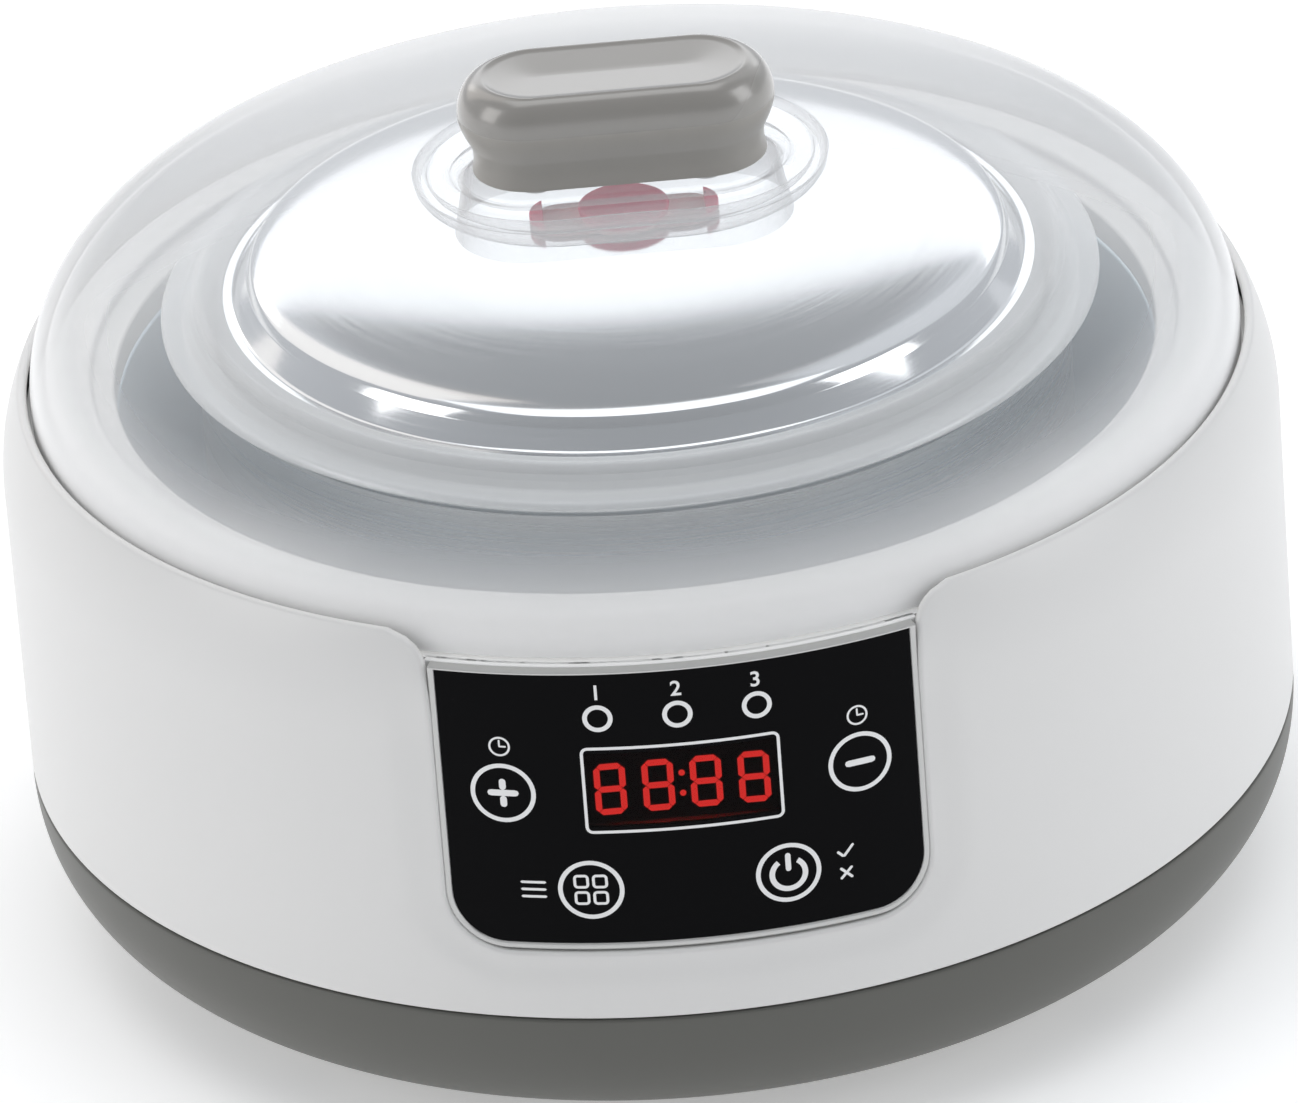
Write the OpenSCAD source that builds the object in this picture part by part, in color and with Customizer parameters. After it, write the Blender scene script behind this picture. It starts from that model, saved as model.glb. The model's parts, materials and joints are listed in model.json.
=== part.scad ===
// Yogurt maker: a round heated body with a control panel, a steel pot with its
// own lid, and an outer lid with a grip. Millimetres, +Z up, front towards -Y,
// origin on the floor under the middle of the body.

/* [Body] */
// Diameter of the body
body_d = 210; // [200:1:225]
// Height of the shell's rim above the floor
rim_z = 96; // [92:0.5:97]
// Height of the joint between base and shell
joint_z = 29; // [27:0.5:32]
// Diameter of the flat underside
base_flat_d = 146; // [140:1:156]
// Wall of base and shell
wall = 2.5; // [2:0.1:3]
// Radius of the shell's shoulder
shoulder_r = 37; // [34:1:44]
// Height of the shell's shoulder
shoulder_h = 16; // [14:0.5:18]

/* [Feet] */
// Diameter of each rubber foot
foot_d = 14; // [10:0.5:18]
// Height of each foot under the base
foot_h = 2.5; // [2:0.1:4]
// Diameter of the circle that the feet stand on
feet_circle_d = 124; // [112:1:128]

/* [Deck] */
// Depth of the lid's seat below the shell's rim
seat_depth = 4.7; // [4:0.1:6]
// Height of the deck's ring above the lid's seat
ring_h = 6.7; // [5.5:0.1:7]
// Distance of the ring's inner edge inside the body's side
ring_inset = 16; // [15:0.5:16.5]

/* [Heating bowl] */
// Distance of the bowl's inside from the body's side
bowl_inset = 20; // [20:0.5:24]
// Height of the bowl's floor above the floor
bowl_floor_z = 22; // [21.5:0.5:23]
// Wall of the bowl
bowl_wall = 1; // [0.8:0.1:1.2]
// Radius of the bowl's lower corner
bowl_corner_r = 14; // [10:0.5:20]

/* [Pot] */
// Diameter of the pot
pot_d = 143; // [130:1:146]
// Height of the pot
pot_h = 83.1; // [80:0.1:86]
// Wall of the pot
pot_wall = 0.7; // [0.6:0.1:1]
// Radius of the pot's lower corner
pot_corner_r = 12; // [8:0.5:20]

/* [Pot lid] */
// Reach of the pot lid's edge beyond the pot
pot_lid_reach = 5.3; // [4.5:0.1:6]
// Wall of the pot lid
pot_lid_wall = 1.6; // [1.2:0.1:2]
// Height of the pot lid's bead
pot_step_h = 3.6; // [3:0.1:5]
// Height of the pot lid's dome above the bead
pot_dome_h = 7.8; // [6:0.2:9]
// Thickness of the pot lid's steel dome
dome_t = 0.7; // [0.5:0.1:0.9]
// Diameter of the hole for the vent plug
vent_d = 9; // [7:0.5:11]

/* [Outer lid] */
// Distance of the lid's skirt inside the body's side
skirt_inset = 5.7; // [5.5:0.1:6.5]
// Wall of the outer lid
lid_wall = 2.2; // [1.8:0.1:2.6]
// Radius of the lid's shoulder
lid_shoulder_r = 21.8; // [20:0.2:24]
// Radius of the lid's dome
dome_r = 220; // [210:5:260]
// Length of the recess under the grip
recess_l = 65.4; // [63:0.2:70]
// Width of the recess under the grip
recess_w = 48; // [44:0.5:54]
// Depth of the recess below the top of the dome
recess_depth = 4.7; // [4:0.1:6]
// Clearance of the recess above the vent plug
plug_clearance = 4.4; // [3:0.1:6]

/* [Grip] */
// Length of the grip's cap
grip_l = 51.7; // [47:0.1:57]
// Width of the grip's cap
grip_w = 24; // [21:0.5:29]
// Height of the grip above its seat
grip_h = 16.3; // [14:0.1:19]
// Depth of the waist under the cap
waist = 1.8; // [1.2:0.1:2.6]

/* [Panel] */
// Width of the panel across its frame
panel_w = 77.2; // [76:0.2:80]
// Height of the panel's lower edge above the floor
panel_z = 41.2; // [38:0.2:44]
// Radius of the panel's lower corners
panel_corner_r = 9.5; // [6:0.5:14]
// Depth of the panel's face below the shell's face
panel_depth = 1.6; // [1:0.1:2]
// Width of the panel's frame
frame_w = 1.5; // [1:0.1:2]
// Diameter of each key
key_d = 9.4; // [8:0.2:10]
// Travel of each key
key_travel = 0.25; // [0.15:0.05:0.3]
// Distance of the time keys from the middle
time_key_x = 28.3; // [27:0.1:29]
// Height of the time keys
time_key_z = 69.5; // [68:0.1:71]
// Distance of the two lower keys from the middle
low_key_x = 15.7; // [14:0.1:18]
// Height of the two lower keys
low_key_z = 52.1; // [51.4:0.1:52.4]
// Spacing of the program lamps
lamp_pitch = 12.6; // [11:0.2:14]
// Height of the program lamps
lamp_z = 83.1; // [82:0.1:83.5]
// Diameter of the program lamps
lamp_d = 3; // [2:0.5:4]

/* [Display] */
// Width of the display's window
window_w = 30.6; // [30.2:0.2:31]
// Height of the display's window
window_h = 13.4; // [12.6:0.2:14]
// Height of the window's middle above the floor
window_z = 70.1; // [69.6:0.1:70.6]
// Height of a digit
digit_h = 9.14; // [8:0.1:9.6]
// Width of a digit
digit_w = 5; // [4.4:0.1:5.4]
// Pitch of the digits
digit_pitch = 7.6; // [7.2:0.1:7.8]

/* [Mains inlet] */
// Spacing of the inlet's pins
pin_pitch = 8.6; // [8.2:0.2:9]
// Diameter of the inlet's pins
pin_d = 2.4; // [2:0.2:2.8]
// Height of the inlet's middle above the floor
inlet_z = 48; // [44:1:60]

/* [Hidden] */
$fn = 96;

fit = 0.3;          // gap between pieces that come apart
skin = 0.05;        // gap of a piece that slides in its seat
tiny = 0.01;        // overlap that makes two shapes one solid

// Body
body_r = body_d / 2;
flat_r = base_flat_d / 2;
floor_top = foot_h + wall;
shoulder_z = rim_z - shoulder_h;
shoulder_x = body_r - shoulder_r;
lap_h = 3;
lap_w = 2.4;
lap_root = 5;       // height over which the lap grows out of the base's wall
base_power = 2.3;   // roundness of the base's side
foot_seat = 1;      // depth of each foot's seat in the base
// Deck
seat_z = rim_z - seat_depth;
ring_z = seat_z + ring_h;
skirt_r = body_r - skirt_inset;
rim_inner_r = skirt_r + 0.5;
ring_inner_r = body_r - ring_inset;
ring_outer_r = skirt_r - lid_wall - 1.1;
flange_t = 3.3;     // thickness of the deck's outer flange
flange_z = seat_z - flange_t;
shelf_t = 2;        // shelf inside the shell that carries the deck
// Bowl
bowl_r = body_r - bowl_inset;
bowl_bottom_z = bowl_floor_z - bowl_wall;
bowl_flange_z = seat_z - 0.3;
bowl_flange_r = body_r - 11.7;
deck_inner_r = bowl_r + 0.3;
gasket_t = 1;
gasket_r = ring_inner_r - 0.8;
// Casing screws
post_r = 5;
boss_r = 4;
post_circle_r = bowl_r + bowl_wall + post_r + 1;
post_top_z = 20;
screw_r = 1.5;
screw_hole_r = 1.7;
screw_head_r = 2.9;
screw_head_h = 2;
well_r = 3.5;
well_top_z = post_top_z - 3;
screw_l = 12;
screw_angles = [45, 135, 225, 315];
bowl_screw_r = 1.2;
bowl_screw_l = 4.5;
bowl_screw_circle_r = (gasket_r + bowl_flange_r) / 2;
bowl_screw_angles = [0, 90, 180, 270];
// Pot
pot_r = pot_d / 2;
pot_bottom_z = bowl_floor_z + fit;
pot_rim_z = pot_bottom_z + pot_h;
pot_bead_r = 1.4;
// Pot lid
pot_lid_r = pot_r + pot_lid_reach;
pot_lid_z = pot_rim_z + fit;          // underside that rests on the rim
pot_plug_r = pot_r - pot_wall - 1.6;  // skirt that reaches into the pot
pot_plug_h = 6;
pot_step_z = pot_lid_z + pot_step_h + pot_lid_wall;
dome_seat_r = pot_plug_r - pot_lid_wall - 0.2;
dome_seat_z = pot_step_z - 1.1;
dome_foot_z = dome_seat_z + 3.6;     // top of the dome's steep foot
pot_dome_r = dome_seat_r - 5.4;
pot_top_z = pot_step_z + pot_dome_h;
plug_h = 2.7;
plug_l = 31;          // plate of the vent plug
plug_w = 11;
plug_plate_t = 0.7;
plug_rib_w = 2.3;     // rib at each end of the plate
plug_rib_h = 2.2;
boss_bottom_r = 7.2;
boss_top_r = 7.7;
plug_top_z = pot_top_z + plug_h;
// Outer lid
lid_z = seat_z + fit;
recess_z = plug_top_z + plug_clearance + lid_wall;
dome_top_z = recess_z + recess_depth;
dome_c = dome_top_z - dome_r;
lid_shoulder_x = skirt_r - lid_shoulder_r;
lid_break = 67;                       // angle where shoulder turns into dome
dome_edge_r = lid_shoulder_x + lid_shoulder_r * cos(lid_break);
dome_tilt = asin(dome_edge_r / dome_r);
skirt_top_z = dome_c + dome_r * cos(dome_tilt) - lid_shoulder_r * sin(lid_break);
// Grip
grip_drop = 2.9;                      // depth of the grip's seat below the dome's top
grip_z = dome_top_z - grip_drop;
pedestal_l = grip_l + 3.9;
pedestal_w = grip_w + 3.4;
grip_span = grip_l - grip_w;
grip_top_z = grip_z + grip_h;
waist_top = 0.3;                      // share of the grip's height taken by its waist
cap_split = 0.62;                     // share of the grip's height below the cap
cap_edge = 4.3;                       // width of the cap's rounded edge
cap_dish = 0.5;                       // depth of the cap's dished top
handle_screw_r = 1.5;
handle_screw_x = grip_span / 2;
handle_screw_l = 7;
handle_screw_head_r = 2.8;
handle_screw_head_h = 1.6;
// Panel
panel_r = body_r - panel_depth;       // radius of the overlay's face
panel_top = seat_z;
frame_top_w = 0.4;    // the frame is thin along its top
overlay_t = 0.8;
overlay_back = panel_r - overlay_t;
frame_r = panel_r + 0.2;
plate_back = panel_r - 3.6;
plate_front = panel_r - 2.1;
shell_inner_r = body_r - wall;
opening_gap = 0.35;
carrier_lip = 3;
carrier_top = flange_z - fit;
notch_r = 5.5;
// Boards
board_front = -(panel_r - 15.4);
board_t = 1.6;
board_w = 70;
board_z0 = panel_z + 4;
board_z1 = seat_z - 5;
switch_w = 6;
switch_h = 3.5;
stem_h = 0.8;
stem_r = 1.75;
key_r = key_d / 2;
key_rim = 0.9;
key_back = board_front - switch_h - stem_h - key_travel - 0.1;
key_rim_t = 0.8;
display_front = -(overlay_back - 1.2);
display_w = 30.1;
display_h = 12.8;
display_t = 7;
digit_z = window_z - 0.5;
digit_t = 0.15;
segment_w = 1;
lamp_front = overlay_back - 0.3;
lamp_h = 6;
// Power electronics
power_w = 64;
power_d = 46;
power_z = floor_top + 3;
power_top = power_z + board_t;
power_hole_x = power_w / 2 - 4;
power_hole_y = power_d / 2 - 4;
heater_t = 1.5;
heater_r = 60;
heater_hole_r = 22;
heater_z = bowl_bottom_z - heater_t;
sensor_r = 4;
sensor_h = 6;
strap_t = 0.8;
fuse_r = 2;
fuse_l = 12;
fuse_y = 40;
// Mains inlet
inlet_w = 22;
inlet_h = 16;
inlet_face = body_r - 1.4;
inlet_depth = 12;
inlet_back = inlet_face - inlet_depth - 2.6;
recess_r = 4.2;
wire_r = 1;
lead_rise = 2.4;      // straight end of each lead, square to what it is soldered to
heater_lead_x = 16;

white = [0.93, 0.93, 0.92];
grey = [0.47, 0.47, 0.44];
steel = [0.72, 0.74, 0.76];
frosted = [0.86, 0.88, 0.89, 0.55];

// Points along an arc about c
function arc(c, r, from, to, steps = 12) =
    [for (i = [0 : steps]) let (a = from + (to - from) * i / steps)
        [c[0] + r * cos(a), c[1] + r * sin(a)]];

// The base's side, from its flat underside up to the joint, moved in by inset
function base_side(inset, steps = 18) =
    [for (i = [0 : steps]) let (t = 90 * i / steps)
        [flat_r + (body_r - inset - flat_r) * pow(sin(t), 2 / base_power),
         joint_z - (joint_z - foot_h - inset) * pow(cos(t), 2 / base_power)]];

// The shell's outline from its joint up to height top, moved in by inset
function shell_side(inset, top) =
    let (r = shoulder_r - inset)
    concat([[body_r - inset, joint_z]],
        arc([shoulder_x, shoulder_z], r, 0, asin((top - shoulder_z) / r), 10));

module ring(outer, inner, z0, z1) {
    translate([0, 0, z0]) difference() {
        cylinder(r = outer, h = z1 - z0);
        translate([0, 0, -1]) cylinder(r = inner, h = z1 - z0 + 2);
    }
}

module at_angles(angles, radius) {
    for (a = angles) rotate(a) translate([radius, 0, 0]) children();
}

// A bar with round ends along X
module stadium(length, width, height) {
    span = length - width;
    translate([-span / 2, -width / 2, 0]) cube([span, width, height]);
    for (side = [-1, 1])
        translate([side * span / 2, 0, 0]) cylinder(d = width, h = height);
}

// Extrudes an outline drawn in X and Z towards the front, from y = near to y = far
module frontwards(near, far) {
    translate([0, -near, 0]) rotate([90, 0, 0]) linear_extrude(far - near) children();
}

// A curved plate: the part of a tube's wall that an outline covers
module curved_plate(outer, inner) {
    intersection() {
        ring(outer, inner, 0, rim_z + 10);
        frontwards(inner / 2, outer + 5) children();
    }
}

function unit(v) = v / norm(v);

// Eight-sided wire swept along its route, with a mitre at each bend
module wire_path(points, radius = wire_r) {
    sides = 8;
    last = len(points) - 1;
    along = [for (i = [0 : last]) unit(
        (i < last ? unit(points[i + 1] - points[i]) : [0, 0, 0])
        + (i > 0 ? unit(points[i] - points[i - 1]) : [0, 0, 0]))];
    rings = [for (i = [0 : last]) let (
        // every route lies in a plane of constant X
        across = cross(along[i], [1, 0, 0]),
        step = unit(i < last ? points[i + 1] - points[i] : points[i] - points[i - 1]),
        mitre = 1 / (along[i] * step))
        for (k = [0 : sides - 1]) let (a = 360 * k / sides)
            points[i] + radius * (cos(a) * [1, 0, 0] + sin(a) * mitre * across)];
    polyhedron(rings, concat(
        [[for (k = [0 : sides - 1]) k]],
        [[for (k = [0 : sides - 1]) last * sides + sides - 1 - k]],
        [for (i = [0 : last - 1], k = [0 : sides - 1]) let (n = (k + 1) % sides)
            [i * sides + n, i * sides + k, (i + 1) * sides + k, (i + 1) * sides + n]]));
}

/* Outlines of the panel, in X and Z */

// The panel's outline: sharp upper corners and round lower ones
module panel_outline(grow = 0, top = panel_top) {
    half = panel_w / 2 + grow;
    low = panel_z - grow;
    r = max(panel_corner_r + grow, 1);
    translate([-half, low + r]) square([2 * half, top - low - r]);
    translate([-half + r, low]) square([2 * (half - r), r + tiny]);
    for (side = [-1, 1]) translate([side * (half - r), low + r]) circle(r);
}

// The cut in the shell: the panel's opening, wider with round corners at the rim
module shell_opening() {
    half = panel_w / 2 + opening_gap;
    panel_outline(opening_gap, rim_z + 5);
    difference() {
        translate([-half - notch_r, rim_z - notch_r])
            square([2 * (half + notch_r), notch_r + 5]);
        for (side = [-1, 1])
            translate([side * (half + notch_r), rim_z - notch_r]) circle(notch_r);
    }
}

module window_outline(w = window_w, h = window_h) {
    translate([-w / 2, window_z - h / 2]) square([w, h]);
}

key_places = [[-time_key_x, time_key_z], [time_key_x, time_key_z],
    [-low_key_x, low_key_z], [low_key_x, low_key_z]];
lamp_xs = [-lamp_pitch, 0, lamp_pitch];

/* Casing */

module base_solid(inset) {
    rotate_extrude()
        polygon(concat([[0, foot_h + inset]], base_side(inset), [[0, joint_z]]));
}

module base_cover() {
    color(grey) difference() {
        union() {
            difference() {
                base_solid(0);
                base_solid(wall);
                translate([0, 0, joint_z - tiny]) cylinder(r = body_r - wall, h = 1);
            }
            // lap that the shell slips over
            ring(shell_inner_r - 0.2, shell_inner_r - lap_w, joint_z - lap_root, joint_z + lap_h);
            ring(body_r - wall / 2, shell_inner_r - lap_w, joint_z - lap_root, joint_z);
            // screw posts
            intersection() {
                base_solid(0);
                at_angles(screw_angles, post_circle_r) cylinder(r = post_r, h = post_top_z);
            }
            // posts of the power board
            power_posts() cylinder(r = 3, h = power_z - floor_top + 1);
        }
        at_angles(screw_angles, post_circle_r) {
            translate([0, 0, -1]) cylinder(r = well_r, h = well_top_z + 1);
            cylinder(r = screw_hole_r, h = post_top_z + 1);
        }
        power_posts() cylinder(r = screw_r - 0.3, h = power_z);
        // seats of the feet
        at_angles(screw_angles, feet_circle_d / 2)
            translate([0, 0, foot_h - 1]) cylinder(d = foot_d, h = 1 + foot_seat);
        base_vents();
    }
}

module power_posts() {
    for (x = [-1, 1], y = [-1, 1])
        translate([x * power_hole_x, y * power_hole_y, floor_top - 1]) children();
}

// Cooling slots in the base's floor
module base_vents() {
    for (side = [-1, 1], i = [0 : 4])
        translate([(i - 2) * 6, side * 46, 0]) rotate(90)
            translate([0, 0, foot_h - 1]) stadium(18, 2.4, wall + 2);
}

module outer_shell() {
    rim_outer_r = shoulder_x + shoulder_r * cos(asin(shoulder_h / shoulder_r));
    inner_r = shoulder_r - wall;
    shelf_top = flange_z;
    shelf_in = ring_outer_r + 1.8;
    color(white) difference() {
        rotate_extrude() polygon(concat(
            shell_side(0, rim_z - 0.8),
            [[rim_outer_r - 0.5, rim_z],
             [rim_inner_r + 0.4, rim_z], [rim_inner_r, rim_z - 0.4],
             [rim_inner_r, seat_z + 1.6],
             [shoulder_x + sqrt(inner_r * inner_r - pow(seat_z - shoulder_z, 2)), seat_z],
             [shoulder_x + sqrt(inner_r * inner_r - pow(shelf_top - shoulder_z, 2)), shelf_top],
             [shelf_in, shelf_top], [shelf_in, shelf_top - shelf_t],
             [shell_inner_r - 1.4, shelf_top - shelf_t - 3],
             [shell_inner_r, shelf_top - shelf_t - 6],
             [shell_inner_r, joint_z]]));
        frontwards(body_r / 2, body_r + 5) shell_opening();
        translate([-inlet_w / 2 - 0.2, body_r / 2, inlet_z - inlet_h / 2 - 0.2])
            cube([inlet_w + 0.4, body_r, inlet_h + 0.4]);
    }
}

module upper_deck() {
    boss_top = seat_z + 0.5;
    tongue_r = plate_front - 0.1;
    flange_r = rim_inner_r + 0.5;
    color(white) difference() {
        union() {
            rotate_extrude() polygon(concat(
                [[deck_inner_r, bowl_flange_z + gasket_t],
                 [deck_inner_r, ring_z - 3.2]],
                arc([deck_inner_r + 1.2, ring_z - 3.2], 1.2, 170, 100, 4),
                [[ring_inner_r - 0.8, ring_z - 1.9], [ring_inner_r, ring_z - 0.7]],
                arc([ring_inner_r + 0.7, ring_z - 0.7], 0.7, 170, 90, 4),
                arc([ring_outer_r - 1.6, ring_z - 1.6], 1.6, 90, 0, 6),
                arc([ring_outer_r + 0.8, seat_z + 0.8], 0.8, 180, 270, 4),
                [[flange_r, seat_z], [flange_r, flange_z],
                 [bowl_flange_r + 0.3, flange_z], [bowl_flange_r + 0.3, bowl_flange_z],
                 [gasket_r, bowl_flange_z], [gasket_r, bowl_flange_z + gasket_t]]));
            // tongue behind the panel's upper edge
            intersection() {
                ring(tongue_r, flange_r - 1, flange_z, seat_z);
                frontwards(body_r / 2, body_r + 5) difference() {
                    shell_opening();
                    translate([-body_r, 0]) square([2 * body_r, flange_z]);
                    for (side = [-1, 1])
                        translate([side * (panel_w / 2 + opening_gap), flange_z])
                            square([2 * fit, 2 * seat_depth], center = true);
                }
            }
            // bosses for the casing screws
            at_angles(screw_angles, post_circle_r)
                translate([0, 0, post_top_z]) cylinder(r = boss_r, h = boss_top - post_top_z);
        }
        at_angles(screw_angles, post_circle_r)
            translate([0, 0, post_top_z - 1]) cylinder(r = screw_r, h = screw_l + 1);
        at_angles(bowl_screw_angles, bowl_screw_circle_r)
            translate([0, 0, bowl_flange_z - 1]) cylinder(r = bowl_screw_r, h = bowl_screw_l);
    }
}

module rubber_feet() {
    color([0.2, 0.2, 0.2]) at_angles(screw_angles, feet_circle_d / 2) {
        cylinder(d1 = foot_d - 3, d2 = foot_d - 2, h = foot_h);
        translate([0, 0, foot_h - tiny]) cylinder(d = foot_d, h = foot_seat + tiny);
    }
}

module screw(radius, length, head_r, head_h) {
    translate([0, 0, -head_h]) difference() {
        cylinder(r = head_r, h = head_h);
        // cross recess
        for (turn = [0, 90]) rotate(turn)
            translate([-head_r * 0.6, -0.4, -1]) cube([head_r * 1.2, 0.8, 1 + head_h * 0.5]);
    }
    cylinder(r = radius, h = length);
}

module casing_screws() {
    color(steel) at_angles(screw_angles, post_circle_r)
        translate([0, 0, well_top_z]) screw(screw_r, screw_l, screw_head_r, screw_head_h);
}

module bowl_screws() {
    color(steel) at_angles(bowl_screw_angles, bowl_screw_circle_r)
        translate([0, 0, bowl_flange_z - bowl_wall])
            screw(bowl_screw_r, bowl_screw_l - 0.5, 2.2, 1.4);
}

/* Bowl, pot and lids */

// A round vessel's outline with a lower corner of radius corner
function vessel_side(r, bottom, corner, top) =
    concat(arc([r - corner, bottom + corner], corner, -90, 0, 10), [[r, top]]);

module vessel(r, bottom, corner, top, thick) {
    rotate_extrude() polygon(concat(
        [[0, bottom]], vessel_side(r, bottom, corner, top),
        [for (i = [0 : 11]) vessel_side(r - thick, bottom + thick, corner - thick, top)[11 - i]],
        [[0, bottom + thick]]));
}

module heating_bowl() {
    color(steel) difference() {
        union() {
            vessel(bowl_r + bowl_wall, bowl_bottom_z, bowl_corner_r + bowl_wall,
                bowl_flange_z, bowl_wall);
            ring(bowl_flange_r, bowl_r + bowl_wall - tiny,
                bowl_flange_z - bowl_wall, bowl_flange_z);
        }
        at_angles(screw_angles, post_circle_r)
            translate([0, 0, bowl_flange_z - 3]) cylinder(r = boss_r + 0.3, h = 5);
        at_angles(bowl_screw_angles, bowl_screw_circle_r)
            translate([0, 0, bowl_flange_z - 3]) cylinder(r = bowl_screw_r, h = 5);
    }
}

module bowl_gasket() {
    color([0.85, 0.85, 0.85])
        ring(gasket_r, deck_inner_r, bowl_flange_z, bowl_flange_z + gasket_t);
}

module inner_pot() {
    color(steel) {
        vessel(pot_r, pot_bottom_z, pot_corner_r, pot_rim_z - pot_bead_r, pot_wall);
        // rolled rim
        rotate_extrude() difference() {
            translate([pot_r - pot_wall + pot_bead_r, pot_rim_z - pot_bead_r]) circle(pot_bead_r);
            translate([pot_r, pot_rim_z - 3 * pot_bead_r]) square([4, 2 * pot_bead_r - 0.2]);
        }
    }
}

// Milky plastic ring that plugs into the pot and holds the steel dome in a slot
module pot_lid() {
    low = pot_lid_z - pot_plug_h;
    inner = pot_plug_r - pot_lid_wall;
    top = pot_lid_z + pot_lid_wall;
    bead_r = 1.4;
    bead_x = dome_seat_r + 2.6;
    slot_r = dome_seat_r - 1;
    color([0.93, 0.94, 0.94]) rotate_extrude() polygon(concat(
        // underside, from the plug out to the edge
        [[inner, low], [pot_plug_r, low],
         [pot_plug_r, low + 1.4], [pot_plug_r - 0.7, low + 1.4],
         [pot_plug_r - 0.7, low + 3.4], [pot_plug_r, low + 3.4],
         [pot_plug_r, pot_lid_z], [pot_lid_r - 0.3, pot_lid_z], [pot_lid_r, pot_lid_z + 0.3]],
        arc([pot_lid_r - 0.8, top - 0.8], 0.8, 0, 75, 4),
        // flange up to the bead, and the slot round the dome
        [[bead_x + 2.6, pot_step_z - 1.9]],
        arc([bead_x, pot_step_z - bead_r], bead_r, 0, 130, 6),
        [[slot_r + 0.4, pot_step_z - 0.5], [slot_r, pot_step_z - 0.8], [slot_r, dome_seat_z],
         [dome_seat_r, dome_seat_z], [dome_seat_r, dome_seat_z - dome_t],
         [slot_r, dome_seat_z - dome_t], [slot_r, dome_seat_z - dome_t - 1.2],
         [inner, pot_lid_z - 1]]));
}

// Height of the dome over distance from the middle, both set by the angle a
function dome_point(a, inset) =
    let (edge = pot_dome_r - inset, vent = vent_d / 2)
    [vent + (edge - vent) * pow(cos(a), 0.8),
     dome_foot_z - inset + (pot_top_z - dome_foot_z) * pow(sin(a), 0.8)];

// Pressed steel dome with a steep foot and a hole for the vent plug
module pot_lid_dome() {
    steps = 18;
    color(steel) rotate_extrude() polygon(concat(
        [[dome_seat_r, dome_seat_z - dome_t], [dome_seat_r, dome_seat_z],
         [pot_dome_r + 3.4, dome_seat_z], [pot_dome_r + 2.2, dome_seat_z + 0.6],
         [pot_dome_r + 0.5, dome_foot_z - 0.9]],
        [for (i = [0 : steps]) dome_point(90 * i / steps, 0)],
        [for (i = [0 : steps]) dome_point(90 - 90 * i / steps, dome_t)],
        [[pot_dome_r + 0.4 - dome_t, dome_foot_z - 1.2 - dome_t],
         [pot_dome_r + 1.9 - dome_t, dome_seat_z + 0.1], [pot_dome_r + 2.6, dome_seat_z - dome_t]]));
}

module pot_lid_seal() {
    low = pot_lid_z - pot_plug_h;
    color([0.9, 0.9, 0.9]) rotate_extrude() polygon([
        [pot_plug_r - 0.7, low + 1.4], [pot_plug_r, low + 1.4],
        [pot_plug_r + 1.1, low + 2.4], [pot_plug_r, low + 3.4],
        [pot_plug_r - 0.7, low + 3.4]]);
}

// Silicone plug: a stem in the vent, a long low plate, a boss and a rib at each end
module vent_plug() {
    stem = vent_d / 2 - skin;
    z = pot_top_z + 0.1;
    color([0.86, 0.55, 0.56]) union() {
        rotate_extrude() polygon([
            [0, z - 4], [stem - 0.8, z - 4], [stem, z - 3.2], [stem, z + tiny],
            [boss_bottom_r, z + tiny], [boss_bottom_r, z + 1.4], [boss_top_r, plug_top_z],
            [0, plug_top_z]]);
        translate([0, 0, z]) stadium(plug_l, plug_w, plug_plate_t);
        intersection() {
            translate([0, 0, z]) stadium(plug_l, plug_w, plug_rib_h);
            for (side = [-1, 1]) translate([side * (plug_l - plug_rib_w) / 2, 0, z])
                cube([plug_rib_w, plug_w + 1, 3 * plug_rib_h], center = true);
        }
    }
}

// The outer lid's outline as a filled shape, moved in by inset
module lid_fill(inset) {
    steps = 16;
    r = dome_r - inset;
    rotate_extrude() polygon(concat(
        [[0, lid_z - 2 * inset], [skirt_r - inset, lid_z - 2 * inset]],
        arc([lid_shoulder_x, skirt_top_z], lid_shoulder_r - inset, 0, lid_break - 3, 10),
        [for (i = [0 : steps]) let (a = dome_tilt * 0.97 * (1 - i / steps))
            [r * sin(a), dome_c + r * cos(a)]]));
}

module outer_lid() {
    rim = 1;
    color(frosted) difference() {
        union() {
            difference() {
                lid_fill(0);
                lid_fill(lid_wall);
            }
            // tub of the recess, open above
            intersection() {
                lid_fill(0);
                translate([0, 0, recess_z - lid_wall])
                    stadium(recess_l + 2 * lid_wall, recess_w + 2 * lid_wall, 40);
            }
        }
        difference() {
            translate([0, 0, recess_z]) stadium(recess_l, recess_w, 40);
            // pedestal that carries the grip
            translate([0, 0, recess_z - rim])
                stadium(pedestal_l, pedestal_w, grip_z - recess_z + rim);
        }
        translate([0, 0, recess_z - lid_wall - 1])
            stadium(pedestal_l - 2 * lid_wall, pedestal_w - 2 * lid_wall,
                grip_z - recess_z - 0.2 + 1);
        for (side = [-1, 1]) translate([side * handle_screw_x, 0, recess_z - 5])
            cylinder(r = handle_screw_r + 0.2, h = 20);
    }
}

// Half of the grip's section up to the cap, as distance from the middle line and height
function grip_side(steps = 14) =
    let (low = grip_w / 2 - waist)
    [for (i = [0 : steps]) let (t = cap_split * i / steps)
        [t < waist_top
            ? low - 0.35 * sin(180 * t / waist_top)
            : low + waist * sin(90 * (t - waist_top) / (cap_split - waist_top)),
         grip_z + grip_h * t]];

// Half of the cap's section: a rounded edge and a shallow dish that slopes to the middle
function cap_side(steps = 10) =
    let (h = grip_h * (1 - cap_split))
    concat([for (i = [0 : steps]) let (a = 90 * i / steps)
        [grip_w / 2 - cap_edge * (1 - cos(a)), grip_top_z - h * (1 - sin(a))]],
        [[0, grip_top_z - cap_dish]]);

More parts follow.
